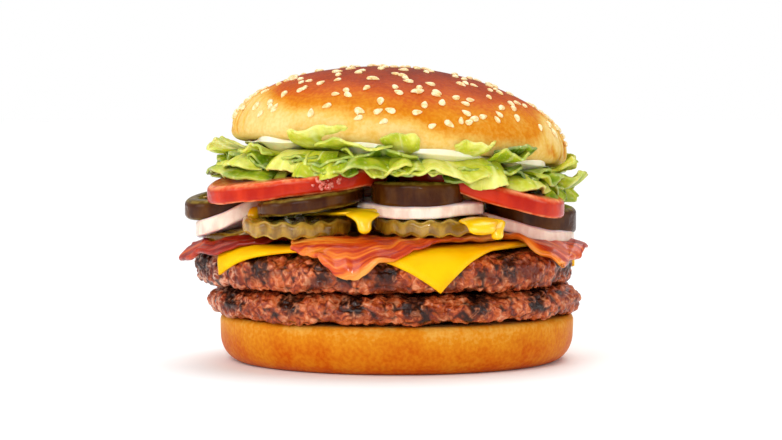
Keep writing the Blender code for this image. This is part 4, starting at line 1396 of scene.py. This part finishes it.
@dataclass
class Lettuce:
    """A heap of torn, frilled leaves between the tomatoes and the crown."""

    rows: int = 24
    columns: int = 44
    step: float = 11.0
    thickness: float = 0.8
    core: float = 44.0
    front: tuple = (
        LeafShape(-155, 15, 42, 67.0, 18, 2, -44, 1.8, 1.1, 0.5, 0.80),
        LeafShape(-152, 20, 42, 62.5, 20, -2, -14, 1.3, 0.8, 2.2, 0.40),
        LeafShape(-137, 7, 48, 62.0, 14, -15, -70, 0.9, 1.0, 1.2, 0.98),
        LeafShape(-118, 12, 43, 68.5, 15, 12, 44, 1.2, 0.8, 0.3, 0.85),
        LeafShape(-129, 9, 46, 67.5, 13, 0, -65, 1.8, 1.4, 2.6, 0.92),
        LeafShape(-117, 8, 48, 67.5, 12.5, -10, -75, 2.0, 1.5, 4.0, 0.62),
        LeafShape(-103, 14, 43, 67.0, 17, 0, -38, 1.8, 1.2, 1.0, 0.48),
        LeafShape(-103, 13, 46, 69.0, 12, 4, 8, 1.2, 1.0, 3.0, 0.62),
        LeafShape(-94, 9, 46, 66.3, 13, -4, -34, 1.6, 1.3, 5.2, 0.70),
        LeafShape(-165, 9, 42, 64.5, 17, 0, -30, 1.6, 1.3, 3.1, 0.66),
        LeafShape(-143, 9, 45, 66.5, 13, 6, 12, 1.4, 1.3, 0.4, 0.58),
        LeafShape(-110, 8, 46, 66.0, 12, -5, -40, 1.6, 1.2, 2.4, 0.30),
        LeafShape(-84, 8, 47, 65.2, 11.5, -5, -36, 1.5, 1.3, 1.4, 0.64),
        LeafShape(-52, 7, 47, 64.5, 12, 4, 26, 1.4, 1.2, 3.6, 0.56),
        LeafShape(-33, 8, 45, 60.5, 14, 2, -30, 1.6, 1.5, 5.0, 0.36),
        LeafShape(-88, 6, 45, 67.0, 14, 6, 62, 1.0, 0.9, 2.0, 0.74),
        LeafShape(-82, 11, 44, 66.0, 14, -5, -30, 1.3, 1.1, 0.8, 0.22),
        LeafShape(-73, 15, 44, 65.6, 16, -3, -36, 1.8, 1.2, 3.4, 0.82),
        LeafShape(-58.5, 8.5, 45, 66.0, 16.5, -4, -88, 2.4, 1.0, 1.4, 0.78),
        LeafShape(-63, 8, 46, 66.0, 12, 10, 34, 1.5, 1.2, 4.4, 0.8),
        LeafShape(-47, 9, 44, 64.0, 15, 8, 30, 1.3, 0.9, 0.2, 0.20),
        LeafShape(-41, 14, 44, 61.5, 15, -6, -48, 2.0, 1.4, 2.2, 0.88),
        LeafShape(-18, 6, 46, 60.0, 14, 6, 20, 1.0, 1.0, 1.0, 0.72),
        LeafShape(-11, 10, 43, 58.0, 20, -28, 88, 1.3, 1.2, 2.0, 0.52),
        LeafShape(-24, 9, 46, 59.0, 13, -15, -52, 1.6, 1.3, 4.0, 0.42),
    )

    def shapes(self, layer: Layer) -> list[LeafShape]:
        """The leaves of one layer: the front ones as given, the others at even headings, shaken.

        Args:
            layer: Which layer.

        Returns:
            Its leaves.
        """
        if layer is Layer.FRONT:
            return list(self.front)
        share, bend, length, reach = layer.value
        draw = np.random.default_rng(len(layer.name))
        made = []
        start = -180 if layer is Layer.INNER else 5
        for heading in np.arange(start, 180, self.step) + draw.uniform(0, self.step):
            turn = math.radians(heading)
            bottom = 57.2 - 2.6 * math.cos(turn) - 1.6 * math.sin(turn)
            top = float(CROWN.cut(48 * math.cos(turn), 48 * math.sin(turn))) - 1.2
            long = length * draw.uniform(0.85, 1.1)
            # The inner leaves take darker tones: painted shade deep in the heap.
            made.append(LeafShape(
                heading + draw.uniform(-3, 3), draw.uniform(9, 15), reach - 0.9 * long,
                bottom + (top - bottom) * (share + draw.uniform(-0.1, 0.1)), long, draw.uniform(-8, 8),
                bend + draw.uniform(-28, 28), draw.uniform(1.0, 1.9), draw.uniform(0.8, 1.7),
                draw.uniform(0, 6), draw.uniform(0.15, 0.4) if layer is Layer.INNER else draw.uniform(0.3, 0.95)))
        return made

    def leaf(self, shape: LeafShape, seed: float) -> Array:
        """One leaf's middle surface: a sector whose profile is a bent line, waved across its own surface.

        Args:
            shape: The leaf's sizes.
            seed: Shifts its noise.

        Returns:
            Points in mm, (rows, columns, 3).
        """
        v, u = np.meshgrid(np.linspace(0, 1, self.rows), np.linspace(-1, 1, self.columns), indexing="ij")
        local = np.stack([u * 3, v * 2, 0 * u + seed], axis=-1)
        ragged = 0.07 * noise(local * [1, 0, 1], 0.9, seed) + 0.03 * noise(local * [1, 0, 1], 0.3, seed)
        length = shape.length * (1 - 0.22 * u ** 4 + ragged * v)
        angle = np.radians(shape.slope + shape.bend * v ** 1.4) + 0.25 * noise(local, 1.6, seed + 1) * v
        out = np.cumsum(np.cos(angle), axis=0) / self.rows
        rise = np.cumsum(np.sin(angle), axis=0) / self.rows
        wobble = 1.1 * noise(local, 1.3, seed)
        wave = np.sin(shape.waves * math.pi * u + shape.phase + wobble)
        frill = np.sin(3.1 * shape.waves * math.pi * u + 2 * shape.phase + 2 * wobble)
        push = shape.ruffle * (v ** 1.5 * wave + 0.25 * v ** 4 * frill) + 0.25 * noise(local, 0.3, seed + 2) * v
        reach = shape.inner + length * out - push * np.sin(angle)
        height = shape.low + length * rise + push * np.cos(angle)
        turn = np.radians(shape.heading + shape.span * u * (0.7 + 0.3 * v) + 1.5 * wobble * v)
        return np.stack([reach * np.cos(turn), reach * np.sin(turn), height], axis=-1)

    def build(self, layer: Layer) -> Piece:
        """Joins a layer's leaves, each with its own tone, its pale midrib and veins, and a painted highlight at its
        margin.

        Args:
            layer: Which layer.

        Returns:
            The leaves.
        """
        shapes = self.shapes(layer)
        middles = np.stack([self.leaf(shape, 3.7 * k) for k, shape in enumerate(shapes)])
        v, u = np.meshgrid(np.linspace(0, 1, self.rows), np.linspace(-1, 1, self.columns), indexing="ij")
        veins = ease(abs(np.sin(4.5 * math.pi * (abs(u) - 0.35 * v))), 0.16, 0.0) * 0.45
        # Pale midrib and veins are the leaf's own colour; the pale line at the margin is a painted highlight.
        rib = np.maximum(ease(abs(u), 0.10, 0.0) * (1 - 0.6 * v), veins) + 0.2 * ease(v, 0.96, 1.0)
        ribs = np.broadcast_to(np.clip(rib, 0, 1), middles.shape[:3])
        tones = np.array([shape.tone for shape in shapes])[:, None, None] + 0.12 * (v - 0.5)[None]
        thickness = np.full(middles.shape[:3], self.thickness) * (1 + 0.8 * ease(v, 0.5, 0.0))
        made = sheeted(f"lettuce_{layer.name.lower()}", middles, thickness, tone=tones, rib=ribs)
        return dressed(made, LEAF, Slot.LETTUCE)

    def heart(self) -> Piece:
        """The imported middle: a lumpy disc from the tomatoes up to the mayonnaise.

        Returns:
            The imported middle.
        """
        rings, poles = lathed(disc_profile(self.core, 1.0, 0.6, 40), 160)
        top = CROWN.cut(rings[..., 0], rings[..., 1]) - 2.4
        middle = mid_height("lettuce", 3, within=38)(rings[..., 0], rings[..., 1])
        half = np.maximum(top - middle, 0.8)
        rings[..., 2] = middle + half * rings[..., 2] + 0.4 * fractal(rings, 6, 3, 8)
        poles[..., 2] = middle.mean() + np.array([[1.0, -1.0]]) * half[..., :1, :].mean()
        tone = 0.35 + 0.3 * noise(rings, 5, 2)
        made = ringed("lettuce_heart", rings, poles, tone=tone, rib=0 * tone)
        return dressed(made, LEAF, Slot.LETTUCE, "lettuce")


@dataclass
class Mustard:
    """A film of mustard on the pickles that runs out in drips. A drip has heading, width, reach and droop."""

    place: tuple = (-6.0, -3.0)
    radius: float = 37.0
    thickness: float = 2.0
    drips: tuple = ((-146, 8, 11.0, 0.5), (-99, 13, 13.0, 0.6), (-64, 11, 13.0, 0.6), (70, 30, 4.0, 0.0))
    tongues: tuple = (
        ((-10.5, -46.0, 48.8), (-10.3, -52.5, 49.0), (-10.0, -56.4, 47.4), (-9.6, -57.3, 43.6), 5.5, 2.2),
        ((24.0, -44.0, 46.6), (25.0, -51.0, 47.0), (25.6, -55.6, 46.0), (26.0, -57.2, 43.4), 6.4, 4.4),
        ((29.0, -46.0, 46.5), (29.8, -51.0, 46.4), (30.2, -54.0, 44.4), (30.4, -54.8, 41.6), 3.4, 1.9),
        ((-41.0, -24.0, 48.6), (-42.5, -29.0, 49.2), (-44.0, -33.0, 48.8), (-44.6, -34.4, 46.4), 2.8, 1.8),
    )

    def build(self) -> Piece:
        """A round-edged film whose reach grows at the drips and whose edge droops there.

        Returns:
            The mustard.
        """
        rings, poles = lathed(disc_profile(1.0, 0.5, 0.42, 60), 300)
        turn = headings(300)
        reach = np.full(300, self.radius)
        droop = np.zeros(300)
        for at, width, length, drop in self.drips:
            bell = np.exp(-(((turn - math.radians(at) + math.pi) % (2 * math.pi) - math.pi)
                            / math.radians(width)) ** 2)
            reach = reach + length * bell
            droop = droop + drop * bell
        share = np.hypot(rings[..., 0], rings[..., 1])
        x = rings[..., 0] * reach + self.place[0]
        y = rings[..., 1] * reach + self.place[1]
        height = mid_height("mustard", 3)
        lift = rings[..., 2] * self.thickness * (1 + 0.8 * ease(share, 0.6, 0.95) * droop / 2.4)
        z = height(x, y) + lift + 0.35 * fractal(rings * 40, 6, 2, 5) - droop * ease(share, 0.84, 1.0)
        rings = np.stack([x, y, z], axis=-1)
        middle = float(height(np.array(self.place[0]), np.array(self.place[1])))
        poles = np.array([[[*self.place, middle + 0.6], [*self.place, middle - 0.6]]])
        made = ringed("mustard_film", rings, poles)
        return dressed(made, MUSTARD, Slot.MUSTARD, "mustard")

    def drops(self) -> Piece:
        """Fat round-ended tongues that run over the pickles' edge.

        Each follows a smooth curve through its four points, with an oval section that narrows from its
        first half width to its last, and whose size is rounded off at both ends.

        Returns:
            The tongues.
        """
        share = np.linspace(0.0, 1.0, 26)
        turn = headings(28)
        rings = []
        for *points, wide, narrow in self.tongues:
            path = curve_through(np.array(points), share)
            ahead = np.gradient(path, axis=0)
            ahead /= np.linalg.norm(ahead, axis=1, keepdims=True)
            across = np.cross(ahead, [0.0, 0.0, 1.0]) + np.array([1e-6, 0.0, 0.0])
            across /= np.linalg.norm(across, axis=1, keepdims=True)
            up = np.cross(across, ahead)
            ends = np.sqrt(np.clip(1 - np.clip((share - 0.80) / 0.205, 0, 1) ** 2, 0.0, 1)) * ease(share, -0.05, 0.3)
            half = (wide + (narrow - wide) * ease(share, 0.2, 0.8)) * ends
            thick = (1.3 + 0.8 * ease(share, 0.5, 0.9)) * ends
            oval = (across[:, None] * np.cos(turn)[None, :, None] * half[:, None, None]
                    + up[:, None] * np.sin(turn)[None, :, None] * thick[:, None, None])
            rings.append(path[:, None] + oval)
        rings = np.stack(rings)
        made = ringed("mustard_drips", rings, rings[:, [0, -1]].mean(axis=2))
        return dressed(made, MUSTARD, Slot.MUSTARD)


@dataclass
class PepperSeeds:
    """The pale seeds in the dish of the left pepper slice."""

    node: str = "jalapeno_left"
    count: int = 26

    def build(self) -> Piece:
        """Strews flat round seeds over the dish, on the slice's own slope.

        Returns:
            The seeds.
        """
        draw = np.random.default_rng(5)
        x, y, _ = node_disc(self.node)
        reach = 8.8 * np.sqrt(draw.uniform(0.05, 1, self.count))
        turn = draw.uniform(0, 2 * math.pi, self.count)
        px, py = x + reach * np.cos(turn), y + reach * np.sin(turn)
        pz = mid_height(self.node, 1)(px, py) - 0.7
        up = np.stack([draw.uniform(-0.3, 0.3, self.count), draw.uniform(-0.3, 0.3, self.count),
                       np.ones(self.count)], axis=-1)
        up /= np.linalg.norm(up, axis=1, keepdims=True)
        rings, poles = grain_rings(2.6, 2.2, 0.8)
        rings, poles = scattered(rings, poles, np.stack([px, py, pz], axis=-1), up,
                                 draw.uniform(0, 6, self.count), draw.uniform(0.8, 1.1, self.count))
        made = ringed("pepper_seeds", rings, poles)
        return dressed(made, PEPPER_SEED, Slot.JALAPENO)


# The studio


@dataclass
class Studio:
    """A white floor, soft lights, and the photograph's view."""

    distance: float = 950.0
    eye: tuple = (-1.8, 100.0)
    aim: float = 44.4
    lens: float = 136.7
    floor_half: float = 3.0
    sky: float = 0.45
    sun: float = 2.0
    sun_tilt: tuple = (-24.0, 6.0)
    lights: tuple = (
        ("soft_front", (-420, -820, 520), 600, 4.5),
        ("small_front", (-40, -880, 240), 80, 1.1),
        ("soft_left", (-900, -120, 300), 420, 1.5),
        ("soft_right", (900, -160, 300), 420, 1.8),
    )

    def camera(self) -> None:
        """Sets the camera level in front, a little above, looking at the middle of the burger."""
        data = bpy.data.cameras.new("camera")
        data.sensor_width = 36.0
        data.lens = self.lens
        data.clip_end = 10.0
        made = bpy.data.objects.new("camera", data)
        made.location = (self.eye[0] * MM, -self.distance * MM, self.eye[1] * MM)
        pitch = math.atan2(self.eye[1] - self.aim, self.distance)
        made.rotation_euler = (math.pi / 2 - pitch, 0.0, 0.0)
        bpy.context.scene.collection.objects.link(made)
        bpy.context.scene.camera = made

    def floor(self) -> None:
        """Lays a large white floor and lights the world an even white."""
        half = self.floor_half
        corners = [(-half, -half, 0), (half, -half, 0), (half, half, 0), (-half, half, 0)]
        mesh = bpy.data.meshes.new("floor")
        mesh.from_pydata(corners, [], [(0, 1, 2, 3)])
        floor = bpy.data.objects.new("floor", mesh)
        material = bpy.data.materials.new("white_studio_floor")
        material.use_nodes = True
        tree = material.node_tree
        fill(tree, tree.nodes["Principled BSDF"], {"Base Color": "#FFFFFF", "Roughness": 0.7})
        mesh.materials.append(material)
        bpy.context.scene.collection.objects.link(floor)
        world = bpy.data.worlds.new("studio")
        world.use_nodes = True
        tree = world.node_tree
        add = functools.partial(add_node, tree)
        strength = add(Node.RANGE, add(Node.CAMERA_RAY), 0.0, 1.0, self.sky, 1.0)
        fill(tree, tree.nodes["Background"], {"Strength": strength, "Color": "#FFFFFF"})
        bpy.context.scene.world = world

    def lamps(self) -> None:
        """Hangs square soft lights, each turned to the burger, and lights the whole floor evenly from above."""
        target = np.array([0.0, 0.0, 50.0])
        for name, place, size, power in self.lights:
            data = bpy.data.lights.new(name, "AREA")
            data.size = size * MM
            data.energy = power
            lamp = bpy.data.objects.new(name, data)
            lamp.location = np.array(place) * MM
            toward = target - np.array(place, float)
            flat = math.hypot(toward[0], toward[1])
            lamp.rotation_euler = (math.atan2(flat, -toward[2]), 0.0, math.atan2(toward[1], toward[0]) - math.pi / 2)
            bpy.context.scene.collection.objects.link(lamp)
        data = bpy.data.lights.new("ceiling", "SUN")
        data.energy = self.sun
        data.angle = math.radians(60)
        lamp = bpy.data.objects.new("ceiling", data)
        lamp.rotation_euler = (math.radians(self.sun_tilt[0]), math.radians(self.sun_tilt[1]), 0.0)
        bpy.context.scene.collection.objects.link(lamp)

    def build(self) -> None:
        """Sets up everything that isn't the burger."""
        self.camera()
        self.floor()
        self.lamps()
        bpy.context.scene.view_settings.view_transform = "Standard"


def slices() -> list[RoundSlice]:
    """Every round slice of the burger, from the pickles up to the tomatoes."""
    made: list[RoundSlice] = []
    for number, (name, turn) in enumerate((("back", 30), ("back_right", 80), ("back_left", 60), ("centre", 10),
                                           ("front_left", 4), ("front_right", -6))):
        made.append(CrinkleSlice(f"pickle_slice_{name}", f"pickle_{name}", PICKLE, Slot.PICKLE, 4.7, 1.5, 1,
                                 seed=number + 1.0, turn=turn, tilt=(0.0, 0.05)))
    for name, thickness, lower, tilt, shift in (("left", 5.2, -0.2, 0.0, 0.0), ("middle", 3.8, 0.9, 0.0, 0.0),
                                                ("right", 4.2, 1.2, -0.035, -2.2), ("back", 4.0, 0.0, 0.0, 0.0)):
        made.append(RoundSlice(f"onion_slice_{name}", f"onion_{name}", ONION, Slot.ONION, thickness, 1.0, 3,
                               uneven=0.4, waver=0.03, seed=thickness, lower=lower, tilt=(tilt, 0.0),
                               shift=(shift, 0.0)))
    made.append(DishedSlice("pepper_slice_left", "jalapeno_left", PEPPER, Slot.JALAPENO, 6.4, 1.9, 1, seed=3.0,
                            lower=2.8, tilt=(0.02, 0.0)))
    for name, thickness, lower, tilt in (("right", 8.2, 3.8, -0.035), ("front_left", 4.9, 1.3, 0.045),
                                         ("front_right", 8.0, 1.2, 0.0)):
        made.append(RoundSlice(f"pepper_slice_{name}", f"jalapeno_{name}", PEPPER, Slot.JALAPENO, thickness, 1.7, 1,
                               uneven=0.35, waver=0.035, seed=thickness + lower, lower=lower, tilt=(tilt, 0.0)))
    for name, thickness, lower, tilt in (("left", 5.6, 1.4, 0.01), ("right", 6.0, 2.4, -0.075), ("back", 5.0, 0.6, 0.0)):
        made.append(RoundSlice(f"tomato_slice_{name}", f"tomato_{name}", TOMATO, Slot.TOMATO, thickness, 1.6, 3,
                               uneven=0.4, waver=0.03, seed=thickness + 9.0, lower=lower, tilt=(tilt, 0.0), rim=1.7))
    for name, place, tilt in (("left", (-46, -12, 15.5, 41.0), 0.13), ("right", (35, -8, 15, 40.4), -0.10)):
        made.append(CrinkleSlice(f"pickle_slice_{name}", "", PICKLE, Slot.PICKLE, 4.0, 1.4, 1, seed=place[0] / 5,
                                 turn=40, tilt=(tilt, 0.0), place=place))
    return made


def main() -> None:
    """Builds the burger from the floor up, and reports each piece."""
    logging.basicConfig(level=logging.INFO, format="%(message)s")
    Studio().build()
    Heel().build()
    Patty("beef_patty_lower", "patty_lower", 2.0, BEEF, radius=60.2, above=-1.8).build()
    Patty("beef_patty_upper", "patty_upper", 14.0, DARK_BEEF, radius=60.6, below=1.8).build()
    CheeseSlice().build()
    Rasher("rasher_left", "bacon_left", LEFT_ROUTE, LEAN_BACON, 3.0, STIFF_DECK, ripple=1.7, slant=1.5).build()
    Rasher("rasher_middle", "bacon_middle", MIDDLE_ROUTE, FAT_BACON, 7.0, ripple=1.7).build()
    Rasher("rasher_right", "bacon_right", RIGHT_ROUTE, STREAKY_BACON, 12.0, STIFF_DECK, ripple=1.6, slant=4.0).build()
    for piece in slices():
        piece.build()
    mustard = Mustard()
    mustard.build()
    mustard.drops()
    PepperSeeds().build()
    Droplets().build()
    lettuce = Lettuce()
    lettuce.heart()
    for layer in Layer:
        lettuce.build(layer)
    Mayonnaise().build()
    crown = Crown()
    crown.crust()
    crown.sesame()


if __name__ == "__main__":
    main()
